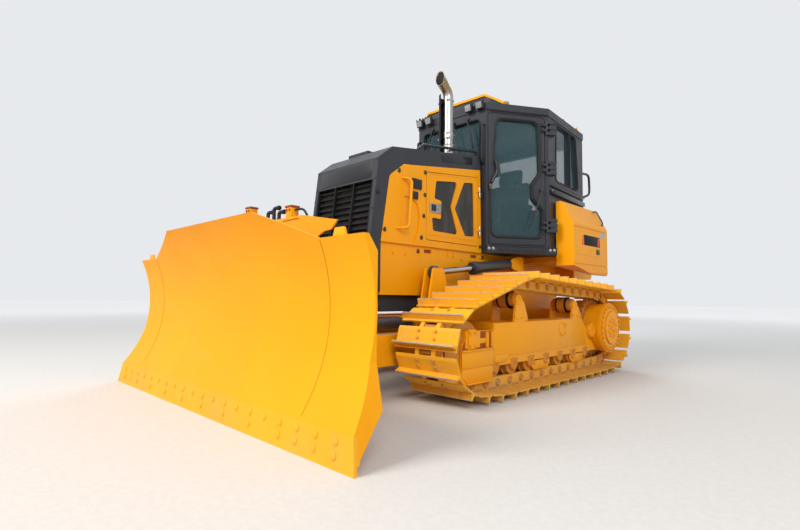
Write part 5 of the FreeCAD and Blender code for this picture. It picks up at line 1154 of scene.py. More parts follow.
@dataclass
class UndercarriageDressing:
    """Covers, bolts and guards of the track frames, rollers and final drives."""

    frame_outer: float = 1.06
    drive_station: float = 3.890
    drive_height: float = 0.458
    drive_rings: tuple[tuple[int, float, float, float], ...] = (
        (26, 0.2255, 0.0135, 1.1615), (12, 0.152, 0.010, 1.160), (10, 0.098, 0.0125, 1.180),
        (6, 0.050, 0.009, 1.180))
    roller_height: float = 0.233
    rollers: tuple[float, ...] = (1.880, 2.1467, 2.4133, 2.68, 2.9467, 3.2133, 3.480)
    carriers: tuple[tuple[float, float], ...] = ((2.225, 0.749), (3.270, 0.698))
    shade_band_offset: float = 0.045
    recess: Outline = ((1.453, 0.384), (1.846, 0.384), (1.846, 0.510), (1.606, 0.510), (1.470, 0.432))
    frame_covers: tuple[tuple[Outline, float], ...] = (
        (((1.446, 0.252), (1.846, 0.252), (1.846, 0.372), (1.446, 0.372)), 0.008),
        (((1.447, 0.196), (1.506, 0.142), (1.824, 0.142), (1.844, 0.244), (1.447, 0.244)), 0.004),
        (((1.853, 0.300), (3.500, 0.300), (3.480, 0.400), (3.425, 0.562), (1.853, 0.562)), 0.005))

    def dress(self, bench: Bench) -> None:
        """Build and mount every piece.

        Args:
            bench: Where the pieces are made.
        """
        self.dress_drive(bench)
        self.dress_frame(bench)
        self.dress_rollers(bench)
        self.dress_yoke(bench)

    def dress_drive(self, bench: Bench) -> None:
        """Rings, plug and bolts on the final drive's stepped cover, and a darker ring of painted shade under the
        outer bolt circle.
        """
        y, z = station(self.drive_station), self.drive_height
        parts = [bench.ring("drive_land", (1.160, y, z), Axis.X, [
            (0.176, -0.004), (0.206, -0.004), (0.206, 0.004), (0.203, 0.006), (0.179, 0.006),
            (0.176, 0.004)], 56)]
        parts.append(bench.ring("drive_hub", (1.180, y, z), Axis.X, [
            (0.064, -0.003), (0.080, -0.003), (0.080, 0.006), (0.077, 0.008), (0.067, 0.008),
            (0.064, 0.006)], 40))
        parts.append(bench.drum("drive_plug", (1.186, y, z), 0.028, 0.014, sides=24, bevel=0.003,
                                recess=(0.008, 0.003)))
        bench.mount_pair(bench.joined("drive_cover_left", parts), "tractor", Finish.YELLOW)
        rings = []
        for count, radius, size, face in self.drive_rings:
            head = bench.bolt("drive_bolt", (0, 0, 0), size, Axis.X)
            spots = []
            for i in range(count):
                angle = 2 * math.pi * (i + 0.5) / count
                spots.append((face, y + radius * math.cos(angle), z + radius * math.sin(angle)))
            rings.append(bench.spread("drive_bolts", head, spots))
        bench.mount_pair(bench.joined("drive_bolts_left", rings), "tractor", Finish.YELLOW)
        # Darker orange ring in the roller colour under the outer bolts: painted shade of the recessed flange.
        seat = bench.ring("drive_seat_left", (1.160, y, z), Axis.X, [
            (0.207, -0.003), (0.243, -0.003), (0.243, 0.001), (0.241, 0.0015), (0.209, 0.0015),
            (0.207, 0.001)], 56)
        bench.mount_pair(seat, "tractor", Finish.ROLLER)

    def dress_frame(self, bench: Bench) -> None:
        """Recoil spring's cover, tow ring, lower guards and rear boss on the frame's outer face, and a red-brown
        plate of painted shade where the face is recessed.
        """
        face = self.frame_outer
        parts = []
        ring = bench.ring("tow_ring", (face + 0.004, station(2.993), 0.476), Axis.X, [
            (0.052, -0.008), (0.068, -0.008), (0.068, 0.006), (0.064, 0.009), (0.056, 0.009),
            (0.052, 0.006)], 32)
        parts.append(ring)
        for angle in (0.25, 1.25, 1.75):
            at = (face + 0.006, station(2.993) + 0.060 * math.cos(math.pi * angle),
                  0.476 + 0.060 * math.sin(math.pi * angle))
            parts.append(bench.slab("tow_ring_lug", at, (0.014, 0.028, 0.028), 0.004))
        parts.append(bench.ring("frame_boss", (face, station(3.590), 0.441), Axis.X, [
            (0.0, -0.004), (0.072, -0.004), (0.072, 0.030), (0.066, 0.036), (0.050, 0.036),
            (0.046, 0.030), (0.0, 0.030)], 32))
        for outline, proud in self.frame_covers:
            parts.append(bench.panel("frame_cover", [(station(s), z) for s, z in outline], Axis.X,
                                     face - 0.002, proud + 0.002, 0.003))
        parts.append(bench.slab("guard_ledge", (face + 0.004, station(1.648), 0.376),
                                (0.028, 0.396, 0.012), 0.003))
        parts.append(bench.slab("guard_lip", (face + 0.004, station(1.665), 0.136),
                                (0.024, 0.320, 0.014), 0.004))
        parts.append(bench.panel("frame_step", [
            (station(1.86), 0.262), (station(2.02), 0.262), (station(2.04), 0.282), (station(2.04), 0.305),
            (station(2.02), 0.318), (station(1.86), 0.318)], Axis.X, face - 0.002, 0.014, 0.004))
        for start, end in ((2.43, 2.75), (3.16, 3.44)):
            parts.append(bench.panel("roller_guard", [
                (station(start), 0.225), (station(end), 0.225), (station(end), 0.180),
                (station(end - 0.04), 0.150), (station(start + 0.04), 0.150), (station(start), 0.180)],
                Axis.X, face - 0.016, 0.014, 0.004))
            for spot in (start + 0.05, end - 0.05):
                parts.append(bench.bolt("guard_bolt", (face - 0.003, station(spot), 0.205), 0.013, Axis.X))
        bench.mount_pair(bench.joined("frame_trim_left", parts), "tractor", Finish.YELLOW)
        # Red-brown plate on the frame's face: painted shade of the recess above the guard.
        recess = bench.panel("wheel_recess_left", [(station(s), z) for s, z in self.recess], Axis.X,
                             face - 0.002, 0.0035, 0.0005)
        bench.mount_pair(recess, "tractor", Finish.SHADE_BROWN)

    def dress_rollers(self, bench: Bench) -> None:
        """Caps and collars of the rollers under both sides of the frame, caps of the carrier rollers, and black
        bands of painted shade between the carrier rollers' flanges.
        """
        caps = []
        for spot in self.rollers:
            for across in (self.frame_outer - 0.006, 0.82 + 0.006):
                way = 1 if across > 0.94 else -1
                collar = (across, station(spot), self.roller_height)
                caps.append(bench.ring("roller_collar", collar, Axis.X, [
                    (0.0, -0.03 * way), (0.052, -0.03 * way), (0.052, 0.006 * way), (0.044, 0.012 * way),
                    (0.020, 0.012 * way), (0.018, 0.007 * way), (0.0, 0.007 * way)], 22))
                foot = (across - 0.011 * way, station(spot), self.roller_height + 0.030)
                caps.append(bench.slab("roller_saddle", foot, (0.026, 0.120, 0.052), 0.006))
                for along in (-0.045, 0.045):
                    caps.append(bench.bolt("saddle_bolt", (foot[0] + 0.013 * way, foot[1] + along,
                                                           foot[2] + 0.004), 0.010, Axis.X, way))
        bench.mount_pair(bench.joined("roller_caps_left", caps), "tractor", Finish.ROLLER)
        covers = []
        for spot, height in self.carriers:
            covers.append(bench.ring("carrier_cap", (0.94 + 0.122, station(spot), height), Axis.X, [
                (0.0, -0.03), (0.046, -0.03), (0.046, -0.004), (0.040, 0.004), (0.022, 0.004),
                (0.020, -0.001), (0.0, -0.001)], 24))
            for along in (-0.045, 0.045):
                covers.append(bench.bolt("carrier_bolt", (1.06, station(spot) + along, 0.60), 0.011,
                                         Axis.X))
            covers.append(bench.panel("carrier_wedge", [
                (station(spot + 0.03), 0.560), (station(spot + 0.165), 0.560),
                (station(spot + 0.165), 0.600), (station(spot + 0.11), height - 0.020),
                (station(spot + 0.03), height + 0.020)], Axis.X, 1.034, 0.014, 0.003))
        bench.mount_pair(bench.joined("carrier_caps_left", covers), "tractor", Finish.YELLOW)
        # Black rings on each carrier roller: painted shade between its flanges.
        bands = []
        for spot, height in self.carriers:
            for across in (0.94 - self.shade_band_offset, 0.94 + self.shade_band_offset):
                bands.append(bench.ring("carrier_band", (across, station(spot), height), Axis.X, [
                    (0.060, -0.007), (0.0772, -0.007), (0.0772, 0.007), (0.060, 0.007)], 32))
        bench.mount_pair(bench.joined("carrier_bands_left", bands), "tractor", Finish.BLACK)

    def dress_yoke(self, bench: Bench) -> None:
        """Sliding block that carries the front wheel, with its keeper plates and bolts."""
        parts = []
        for across, way in ((1.045, 1), (0.835, -1)):
            parts.append(bench.slab("yoke_block", (across, station(1.575), 0.456), (0.052, 0.180, 0.128),
                                    0.008))
            parts.append(bench.slab("yoke_cap", (across + 0.016 * way, station(1.550), 0.458),
                                    (0.046, 0.090, 0.146), 0.007))
            parts.append(bench.slab("yoke_arm", (across, station(1.70), 0.440), (0.040, 0.120, 0.040),
                                    0.006))
            for along in (1.755, 1.822):
                parts.append(bench.slab("yoke_cheek", (across + 0.006 * way, station(along), 0.446),
                                        (0.052, 0.026, 0.120), 0.005))
            for along, up in ((1.522, 0.506), (1.578, 0.506), (1.522, 0.410), (1.578, 0.410)):
                parts.append(bench.bolt("yoke_bolt", (across + 0.039 * way, station(along), up), 0.012,
                                        Axis.X, way))
        bench.mount_pair(bench.joined("idler_yoke_left", parts), "tractor", Finish.YELLOW)


@dataclass
class HoodDressing:
    """Trim of the nose and the hood: screen, caps, panel fasteners, plates, latches and slots."""

    foot: tuple[float, float] = (1.100, 0.800)
    lean: float = 0.1194
    fasteners: tuple[tuple[float, float], ...] = (
        (1.785, 1.850), (1.783, 1.650), (1.769, 1.464), (1.740, 1.273), (1.301, 1.300), (1.460, 1.806),
        (2.602, 1.780), (2.602, 1.262))
    low_fasteners: tuple[tuple[float, float], ...] = ((1.723, 1.155), (2.674, 1.160))
    slots: tuple[tuple[float, float], ...] = ((1.850, 1.160), (2.530, 1.160))
    hinges: tuple[float, float] = (1.357, 1.747)

    def face(self, height: float) -> float:
        """Y of the nose's slanting front at a height."""
        return station(self.foot[0] + self.lean * (height - self.foot[1]))

    def dress(self, bench: Bench, nodes: dict) -> None:
        """Build and mount every piece.

        Args:
            bench: Where the pieces are made.
            nodes: The frame's nodes.
        """
        self.dress_nose(bench)
        self.dress_fasteners(bench, nodes)
        self.dress_boxes(bench)
        self.dress_door(bench)
        self.dress_slots(bench, Probe(nodes["chassis"]))

    def dress_nose(self, bench: Bench) -> None:
        """Screen behind the louvres, blank plate over them, caps and screws of the nose."""
        low, high = 0.938, 1.688
        screen = bench.panel("grille_screen", [
            (self.face(low) + 0.050, low), (self.face(low) + 0.053, low),
            (self.face(high) + 0.053, high), (self.face(high) + 0.050, high)], Axis.X, -0.350, 0.700, 0.0)
        bench.mount(screen, "tractor", Finish.SCREEN)
        low, high = 1.712, 1.846
        plate = bench.panel("nose_plate", [
            (self.face(low) - 0.004, low), (self.face(low) + 0.002, low),
            (self.face(high) + 0.002, high), (self.face(high) - 0.004, high)], Axis.X, -0.335, 0.670, 0.003)
        bench.mount(plate, "tractor", Finish.TRIM)
        edge = []
        for side in (-0.386, 0.386):
            for height in (0.96, 1.21, 1.46, 1.70, 1.859):
                normal = Vector((0.0, -1.0, self.lean)).normalized()
                edge.append(Matrix.Translation((side, self.face(height), height))
                            @ Matrix.Rotation(math.pi / 2 - math.atan(self.lean), 4, "X"))
        screw = bench.bolt("nose_screw", (0, 0, 0), 0.0075, Axis.Z)
        bench.mount(bench.scattered("nose_screws", screw, edge), "tractor", Finish.CHARCOAL)
        cap = bench.ring("nose_cap_left", (0.402, station(1.221), 1.598), Axis.X, [
            (0.0, -0.002), (0.024, -0.002), (0.024, 0.006), (0.019, 0.012), (0.010, 0.014), (0.0, 0.014)],
            28)
        bench.mount_pair(cap, "tractor", Finish.TRIM)
        handle = bench.tube("lid_handle", [
            (-0.13, station(1.44), 2.005), (-0.13, station(1.44), 2.036), (-0.01, station(1.44), 2.036),
            (-0.01, station(1.44), 2.005)], 0.006, 0.012)
        bench.mount(handle, "radiator_lid", Finish.TRIM)

    def dress_fasteners(self, bench: Bench, nodes: dict) -> None:
        """Quarter-turn fasteners down the edges of the side panels."""
        for name, node, spots in (("panel_fasteners", "side_panel_left", self.fasteners),
                                  ("chassis_fasteners", "chassis", self.low_fasteners)):
            probe = Probe(nodes[node])
            base = bench.ring("fastener_base", (0, 0, 0), Axis.X, [
                (0.0, -0.002), (0.019, -0.002), (0.019, 0.003), (0.015, 0.006), (0.0, 0.006)], 24)
            wing = bench.panel("fastener_wing", [
                (-0.010, -0.014), (0.010, -0.014), (0.0035, 0.016), (-0.0035, 0.016)], Axis.X, 0.004,
                0.010, 0.002)
            places = []
            for along, up in spots:
                point, _ = probe.land((1.3, station(along), up), (-1, 0, 0))
                places.append(Matrix.Translation(point))
            piece = bench.scattered(f"{name}_left", bench.joined("fastener", [base, wing]), places)
            bench.mount_pair(piece, "tractor", Finish.BRONZE)

    def dress_boxes(self, bench: Bench) -> None:
        """Two ribbed black boxes beside the grab bar of the side panel, and a thin black plate on the hood's
        side.
        """
        parts = []
        for start, end, low, high in ((1.612, 1.728, 1.684, 1.770), (1.612, 1.682, 1.594, 1.658)):
            middle, centre = (start + end) / 2, (low + high) / 2
            parts.append(bench.slab("panel_box", (middle, -0.008, centre),
                                    (end - start, 0.022, high - low), 0.005))
            rib = bench.slab("panel_rib", (middle, -0.020, low + 0.014), (end - start - 0.016, 0.004, 0.005),
                             0.001)
            count = int((high - low - 0.014) / 0.015)
            parts.append(bench.spread("panel_ribs", rib, [(0, 0, 0.015 * i) for i in range(count)]))
        piece = bench.carried(bench.joined("panel_boxes_left", parts), HOOD_WALL)
        bench.mount_pair(piece, "tractor", Finish.PLASTIC)
        plate = bench.slab("hood_plate_left", (2.245, -0.001, 2.058), (0.46, 0.005, 0.070), 0.002)
        plate.data.transform(Matrix.Translation((2.245, 0, 2.058)) @ Matrix.Rotation(-0.146, 4, "Y")
                             @ Matrix.Translation((-2.245, 0, -2.058)))
        bench.mount_pair(bench.carried(plate, HOOD_WALL), "tractor", Finish.TRIM)

    def dress_door(self, bench: Bench) -> None:
        """Latch, latch cup and bright hinge sleeves of the engine door."""
        parts = [bench.slab("latch_plate", (1.922, -0.004, 1.553), (0.150, 0.008, 0.086), 0.004),
                 bench.drum("latch_lock", (1.962, -0.010, 1.553), 0.017, 0.010, Axis.Y, 24, 0.002,
                            (0.006, 0.002))]
        piece = bench.carried(bench.joined("engine_latch_left", parts), HOOD_WALL)
        bench.mount_pair(piece, "engine_door_left", Finish.STEEL)
        cup = bench.panel("latch_cup_left", [
            (1.862, 1.522), (1.862, 1.584), (1.928, 1.584), (1.928, 1.522)], Axis.Y, -0.0095, 0.003, 0.001)
        bench.mount_pair(bench.carried(cup, HOOD_WALL), "engine_door_left", Finish.PLASTIC)
        for name, body, lift in (("engine_hinge_fixed_left", "tractor", 0.025),
                                 ("engine_hinge_moving_left", "engine_door_left", 0.075)):
            sleeve = bench.drum("hinge_sleeve", (0.412, station(2.584), lift), 0.0112, 0.047, Axis.Z, 20,
                                0.0015)
            piece = bench.spread(name, sleeve, [(0, 0, low) for low in self.hinges])
            bench.mount_pair(piece, body, Finish.STEEL)

    def dress_slots(self, bench: Bench, chassis: Probe) -> None:
        """Red-brown painted shade on the floors of the chassis' side slots, and the studs between them."""
        for number, (along, up) in enumerate(self.slots):
            point, _ = chassis.land((1.0, station(along), up), (-1, 0, 0))
            # A thin red-brown plate on each slot's floor: painted shade.
            floor = bench.slab(f"slot_floor_{number}_left", (point.x + 0.001, point.y, point.z),
                               (0.002, 0.098, 0.030), 0.0005)
            bench.mount_pair(floor, "tractor", Finish.SHADE_BROWN)
        studs = bench.bolt("chassis_stud", (0, 0, 0), 0.010, Axis.X)
        places = []
        for along, up in ((2.123, 1.147), (2.123, 1.176), (2.209, 1.176), (2.209, 1.145), (2.640, 1.157),
                          (1.560, 1.120), (1.420, 1.120), (2.330, 1.120), (2.450, 1.120)):
            point, _ = chassis.land((1.0, station(along), up), (-1, 0, 0))
            places.append(tuple(point))
        bench.mount_pair(bench.spread("chassis_studs_left", studs, places), "tractor", Finish.YELLOW)


@dataclass
class ExhaustDressing:
    """Clamps and screws of the exhaust stack and its heat shield, its foot lip, and a black disc across its
    mouth that is partly soot and partly painted shade.
    """

    side: float = 0.317
    distance: float = 2.207
    radius: float = 0.048
    shield: float = 0.090

    def dress(self, bench: Bench) -> None:
        """Build and mount every piece.

        Args:
            bench: Where the pieces are made.
        """
        y = station(self.distance)
        bands = []
        for height in (2.272, 2.318, 2.640):
            bands.append(bench.ring("stack_band", (self.side, y, height), Axis.Z, [
                (self.radius - 0.001, -0.009), (self.radius + 0.0035, -0.009), (self.radius + 0.005, -0.006),
                (self.radius + 0.005, 0.006), (self.radius + 0.0035, 0.009), (self.radius - 0.001, 0.009)],
                36))
            bands.append(bench.slab("band_lug", (self.side + 0.036, y - 0.046, height),
                                    (0.020, 0.030, 0.018), 0.002, (0.0, 0.0, math.radians(-40))))
        bench.mount(bench.joined("stack_bands", bands), "tractor", Finish.STEEL)
        # Black disc across the mouth: soot, and painted shade of the pipe's dark inside.
        around = [2 * math.pi * i / 32 for i in range(32)]
        mouth_soot_and_shade = bench.panel("stack_mouth_soot_and_shade", [
            (self.side + 0.0497 * math.cos(a), 2.8128 + 0.0648 * math.sin(a)) for a in around],
            Axis.Y, station(2.090), 0.003, 0.0005)
        bench.mount(mouth_soot_and_shade, "tractor", Finish.BLACK)
        lip = bench.ring("stack_foot_lip", (self.side, y, 2.200), Axis.Z, [
            (0.047, -0.004), (0.0555, -0.004), (0.0575, 0.0), (0.0575, 0.006), (0.052, 0.010),
            (0.047, 0.010)], 36)
        bench.mount(lip, "tractor", Finish.STEEL)
        screw = bench.bolt("shield_screw", (0, 0, 0), 0.0085, Axis.Z, washer=True)
        places = []
        for angle in (150.0, 215.0):
            turn = math.radians(angle)
            out = Vector((math.cos(turn), math.sin(turn), 0.0))
            for height in (2.262, 2.618):
                spot = Vector((self.side, y, height)) + out * self.shield
                places.append(Matrix.Translation(spot) @ out.to_track_quat("Z", "Y").to_matrix().to_4x4())
        bench.mount(bench.scattered("shield_screws", screw, places), "tractor", Finish.STEEL)


@dataclass
class CabDressing:
    """Seals, lamps, wipers, handles, hinge screws and sill of the cab."""

    door_window: tuple[Corner, ...] = (
        (0.122, 2.562, 0.060), (0.572, 2.562, 0.080), (0.588, 2.040, 0.060), (0.500, 1.925, 0.050),
        (0.500, 1.775, 0.050), (0.612, 1.650, 0.050), (0.604, 1.378, 0.070), (0.062, 1.378, 0.070),
        (0.056, 1.900, 0.030), (0.128, 2.000, 0.040), (0.128, 2.085, 0.040), (0.092, 2.190, 0.040))
    side_window: tuple[Corner, ...] = (
        (0.212, 2.606, 0.040), (0.762, 2.606, 0.050), (0.834, 2.008, 0.060), (0.188, 2.008, 0.060))
    windscreen: tuple[Corner, ...] = (
        (-0.370, 2.562, 0.040), (0.370, 2.562, 0.040), (0.370, 1.900, 0.040), (-0.370, 1.900, 0.040))
    rear_window: tuple[Corner, ...] = (
        (-0.600, 2.575, 0.060), (0.600, 2.575, 0.060), (0.600, 1.800, 0.060), (-0.600, 1.800, 0.060))
    hinge_levels: tuple[float, ...] = (2.512, 2.097, 1.500)
    sill_bolts: tuple[float, ...] = (0.022, 0.066, 0.690, 0.735)
    rear: float = 4.225

    def dress(self, bench: Bench) -> None:
        """Build and mount every piece.

        Args:
            bench: Where the pieces are made.
        """
        self.dress_seals(bench)
        self.dress_door(bench)
        self.dress_sill(bench)
        self.dress_wipers(bench)
        self.dress_lamps(bench)
        self.dress_rails(bench)

    def dress_seals(self, bench: Bench) -> None:
        """Round rubber beads along the windows and the drip rail under the roof."""
        window = rounded(self.door_window)
        for name, margin, radius, out in (("door_seal_left", 0.014, 0.0095, 0.001),
                                          ("door_glass_bead_left", -0.002, 0.0045, -0.014)):
            piece = bench.seal(name, grown(window, margin), radius, out, DOOR_WALL)
            bench.mount_pair(piece, "cab_door_left", Finish.RUBBER)
        side = bench.seal("side_seal_left", grown(rounded(self.side_window), 0.010), 0.008, 0.001, SIDE_WALL)
        bench.mount_pair(side, "tractor", Finish.RUBBER)
        bar = bench.slab("side_mullion_left", (0.589, -0.003, 2.307), (0.020, 0.008, 0.594), 0.002)
        bench.mount_pair(bench.carried(bar, SIDE_WALL), "tractor", Finish.RUBBER)
        front = bench.seal("windscreen_seal", grown(rounded(self.windscreen), 0.008), 0.009, 0.002,
                           FRONT_WALL)
        bench.mount(front, "tractor", Finish.RUBBER)
        back = bench.seal("rear_seal", grown(rounded(self.rear_window), 0.008), 0.009, 0.002,
                          wall((0.0, self.rear), (-1.0, self.rear)))
        bench.mount(back, "tractor", Finish.RUBBER)
        route = [DOOR_WALL @ Vector((0.010, -0.004, 2.648)), DOOR_WALL @ Vector((0.691, -0.004, 2.648)),
                 SIDE_WALL @ Vector((0.998, -0.004, 2.648))]
        rail = bench.tube("drip_rail_left", [tuple(point) for point in route], 0.0075, 0.02)
        bench.mount_pair(rail, "tractor", Finish.TRIM)

    def dress_door(self, bench: Bench) -> None:
        """Handle, lock, hinge screws and folded rim of the left door, and the same at the right."""
        handle = bench.tube("door_handle_left", [
            (0.090, -0.010, 2.126), (0.090, -0.030, 2.120), (0.106, -0.030, 2.016), (0.048, -0.030, 1.905),
            (0.044, -0.010, 1.900)], 0.0138, 0.030, sides=4)
        bench.mount_pair(bench.carried(handle, DOOR_WALL), "cab_door_left", Finish.TRIM)
        lock = [bench.slab("lock_case", (0.040, -0.012, 1.862), (0.030, 0.026, 0.060), 0.006),
                bench.drum("lock_button", (0.040, -0.028, 1.866), 0.010, 0.010, Axis.Y, 20, 0.002,
                           (0.003, 0.001))]
        piece = bench.carried(bench.joined("door_lock_left", lock), DOOR_WALL)
        bench.mount_pair(piece, "cab_door_left", Finish.BRONZE)
        screw = bench.bolt("hinge_screw", (0, 0, 0), 0.0065, Axis.Y, -1)
        spots = [(0.615, -0.0237, level + step) for level in self.hinge_levels for step in (-0.028, 0.028)]
        piece = bench.carried(bench.spread("hinge_screws_left", screw, spots), DOOR_WALL)
        bench.mount_pair(piece, "cab_door_left", Finish.TRIM)
        rim = bench.seal("door_fold_left", rounded(((0.036, 2.618, 0.035), (0.636, 2.618, 0.035),
                                                    (0.636, 1.304, 0.020), (0.036, 1.304, 0.020))),
                         0.0045, -0.001, DOOR_WALL)
        bench.mount_pair(rim, "cab_door_left", Finish.CHARCOAL)

    def dress_sill(self, bench: Bench) -> None:
        """Bolts and tread ridges of the step below each door, and the ledge beside the fender box."""
        head = bench.bolt("sill_bolt", (0, 0, 0), 0.0125, Axis.Y, -1)
        spots = [(along, -0.018, 1.247) for along in self.sill_bolts]
        piece = bench.carried(bench.spread("sill_bolts_left", head, spots), DOOR_WALL)
        bench.mount_pair(piece, "tractor", Finish.STEEL)
        parts = [bench.slab("sill_lip", (0.383, -0.021, 1.272), (0.770, 0.008, 0.010), 0.002),
                 bench.slab("sill_foot", (0.383, -0.020, 1.205), (0.770, 0.006, 0.010), 0.002)]
        ridge = bench.slab("tread_ridge", (0.130, -0.020, 1.236), (0.010, 0.006, 0.036), 0.002)
        parts.append(bench.spread("tread_ridges", ridge, [(0.024 * i, 0, 0) for i in range(22)]))
        piece = bench.carried(bench.joined("sill_tread_left", parts), DOOR_WALL)
        bench.mount_pair(piece, "tractor", Finish.TRIM)
        ledge = [bench.slab("ledge", (0.500, -0.018, 1.858), (0.930, 0.040, 0.050), 0.008),
                 bench.slab("ledge_cap", (0.500, -0.012, 1.925), (0.930, 0.020, 0.020), 0.006)]
        piece = bench.carried(bench.joined("cab_ledge_left", ledge), SIDE_WALL)
        bench.mount_pair(piece, "tractor", Finish.TRIM)
        cable = bench.tube("ledge_hose_left", [
            (0.100, -0.030, 2.010), (0.180, -0.034, 1.962), (0.60, -0.034, 1.950), (0.950, -0.034, 1.935)],
            0.007, 0.05)
        bench.mount_pair(bench.carried(cable, SIDE_WALL), "tractor", Finish.BRONZE)

    def wiper(self, bench: Bench, name: str, pivot: Point, elbow: Point, tip: Point) -> bpy.types.Object:
        """A wiper in a wall's axes: cap, arm, clip and blade.

        Args:
            bench: Where it is made.
            name: Its name.
            pivot: Foot of its cap on the wall.
            elbow: Where the blade starts.
            tip: Where the blade ends.

        Returns:
            The wiper.
        """
        raised = (pivot[0], pivot[1] - 0.028, pivot[2])
        near = tuple(a + (b - a) * 0.45 for a, b in zip(elbow, tip))
        blade = Vector(tip) - Vector(elbow)
        parts = [bench.drum("wiper_cap", (pivot[0], pivot[1] - 0.014, pivot[2]), 0.018, 0.032, Axis.Y, 24,
                            0.004),
                 bench.tube("wiper_arm", [raised, elbow, near], 0.0075, 0.04),
                 bench.tube("wiper_blade", [elbow, tip], 0.0048, 0.01)]
        clip = Vector(near)
        parts.append(bench.slab("wiper_clip", tuple(clip), (0.016, 0.016, 0.045), 0.004,
                                (0.0, math.atan2(blade.x, blade.z), 0.0)))
        rubber = bench.slab("wiper_rubber", tuple((Vector(elbow) + Vector(tip)) / 2 + Vector((0, 0.006, 0))),
                            (0.004, 0.012, blade.length), 0.001, (0.0, math.atan2(blade.x, blade.z), 0.0))
        return bench.joined(name, [*parts, rubber])

    def dress_wipers(self, bench: Bench) -> None:
        """One wiper on each door and two that hang on the windscreen."""
        piece = self.wiper(bench, "door_wiper_left", (0.601, 0.0, 1.859), (0.548, -0.030, 1.700),
                           (0.448, -0.026, 1.447))
        bench.mount_pair(bench.carried(piece, DOOR_WALL), "cab_door_left", Finish.PLASTIC)
        for name, foot in (("windscreen_wiper_left", 0.055), ("windscreen_wiper_far_left", 0.235)):
            piece = self.wiper(bench, name, (foot, 0.0, 2.592), (foot + 0.040, -0.030, 2.440),
                               (foot + 0.105, -0.020, 2.130))
            piece = bench.carried(piece, FRONT_WALL)
            if foot < 0.1:
                bench.mount(piece, "tractor", Finish.PLASTIC)
            else:
                bench.mount_pair(piece, "tractor", Finish.PLASTIC)

    def dress_lamps(self, bench: Bench) -> None:
        """Work lamps under the visor and behind the roof, and small lamps on the roof's rim."""
        places = []
        for side, sign in SIDES:
            for across, ahead in ((0.270, 2.596), (0.402, 2.600)):
                places.append(Matrix.Translation((sign * across, station(ahead), 2.694))
                              @ Matrix.Rotation(math.radians(12), 4, "X"))
            places.append(Matrix.Translation((sign * 0.62, station(self.rear + 0.050), 2.585))
                          @ Matrix.Rotation(math.pi, 4, "Z") @ Matrix.Rotation(math.radians(12), 4, "X"))
        case = [bench.slab("lamp_case", (0, 0, 0), (0.084, 0.040, 0.078), 0.010, segments=3),
                bench.slab("lamp_back", (0, 0.022, 0), (0.064, 0.020, 0.058), 0.006),
                bench.slab("lamp_arm", (0, 0.006, 0.045), (0.020, 0.018, 0.030), 0.003)]
        for side in (-1, 1):
            case.append(bench.slab("lamp_yoke", (side * 0.045, 0.002, 0.020), (0.005, 0.022, 0.070), 0.002))
        fin = bench.slab("lamp_fin", (-0.024, 0.036, 0), (0.003, 0.012, 0.054), 0.001)
        case.append(bench.spread("lamp_fins", fin, [(0.008 * i, 0, 0) for i in range(7)]))
        bench.mount(bench.scattered("work_lamps", bench.joined("lamp", case), places), "tractor",
                    Finish.PLASTIC)
        glass = bench.slab("lamp_glass", (0, -0.020, 0), (0.068, 0.006, 0.062), 0.006, segments=3)
        bench.mount(bench.scattered("work_lamp_lenses", glass, places), "tractor", Finish.LENS)
        marker = [bench.slab("marker_foot", (0.245, 0.052, 2.728), (0.070, 0.050, 0.018), 0.004),
                  bench.slab("marker_case", (0.245, 0.050, 2.753), (0.052, 0.040, 0.036), 0.009, segments=3)]
        piece = bench.carried(bench.joined("roof_marker_left", marker), DOOR_WALL)
        bench.mount_pair(piece, "tractor", Finish.PLASTIC)
        stub = [bench.drum("roof_stub_foot", (0.560, 0.060, 2.738), 0.022, 0.016, Axis.Z, 24, 0.003),
                bench.drum("roof_stub", (0.560, 0.060, 2.764), 0.014, 0.046, Axis.Z, 24, 0.006)]
        piece = bench.carried(bench.joined("roof_stub_left", stub), SIDE_WALL)
        bench.mount_pair(piece, "tractor", Finish.PLASTIC)
        lens = bench.slab("marker_lens_left", (0.245, 0.029, 2.753), (0.038, 0.004, 0.024), 0.003)
        bench.mount_pair(bench.carried(lens, DOOR_WALL), "tractor", Finish.LENS)

    def dress_rails(self, bench: Bench) -> None:
        """Grab bar behind each rear corner and on each front post, and the visor's screws."""
        bar = bench.tube("rear_grab_left", [
            (0.722, station(4.218), 2.250), (0.735, station(4.400), 2.262), (0.735, station(4.412), 2.020),
            (0.722, station(4.218), 1.955)], 0.014, 0.07, sides=4)
        bench.mount_pair(bar, "tractor", Finish.TRIM)
        post = bench.tube("post_grab_left", [
            (0.432, station(2.642), 2.500), (0.432, station(2.600), 2.480), (0.424, station(2.598), 2.120),
            (0.424, station(2.642), 2.100)], 0.011, 0.03)
        bench.mount_pair(post, "tractor", Finish.TRIM)
        head = bench.bolt("visor_screw", (0, 0, 0), 0.010, Axis.Z)
        spots = [(across, station(2.790), 2.852) for across in (-0.34, -0.17, 0.0, 0.17, 0.34)]
        bench.mount(bench.spread("visor_screws", head, spots), "tractor", Finish.STEEL)


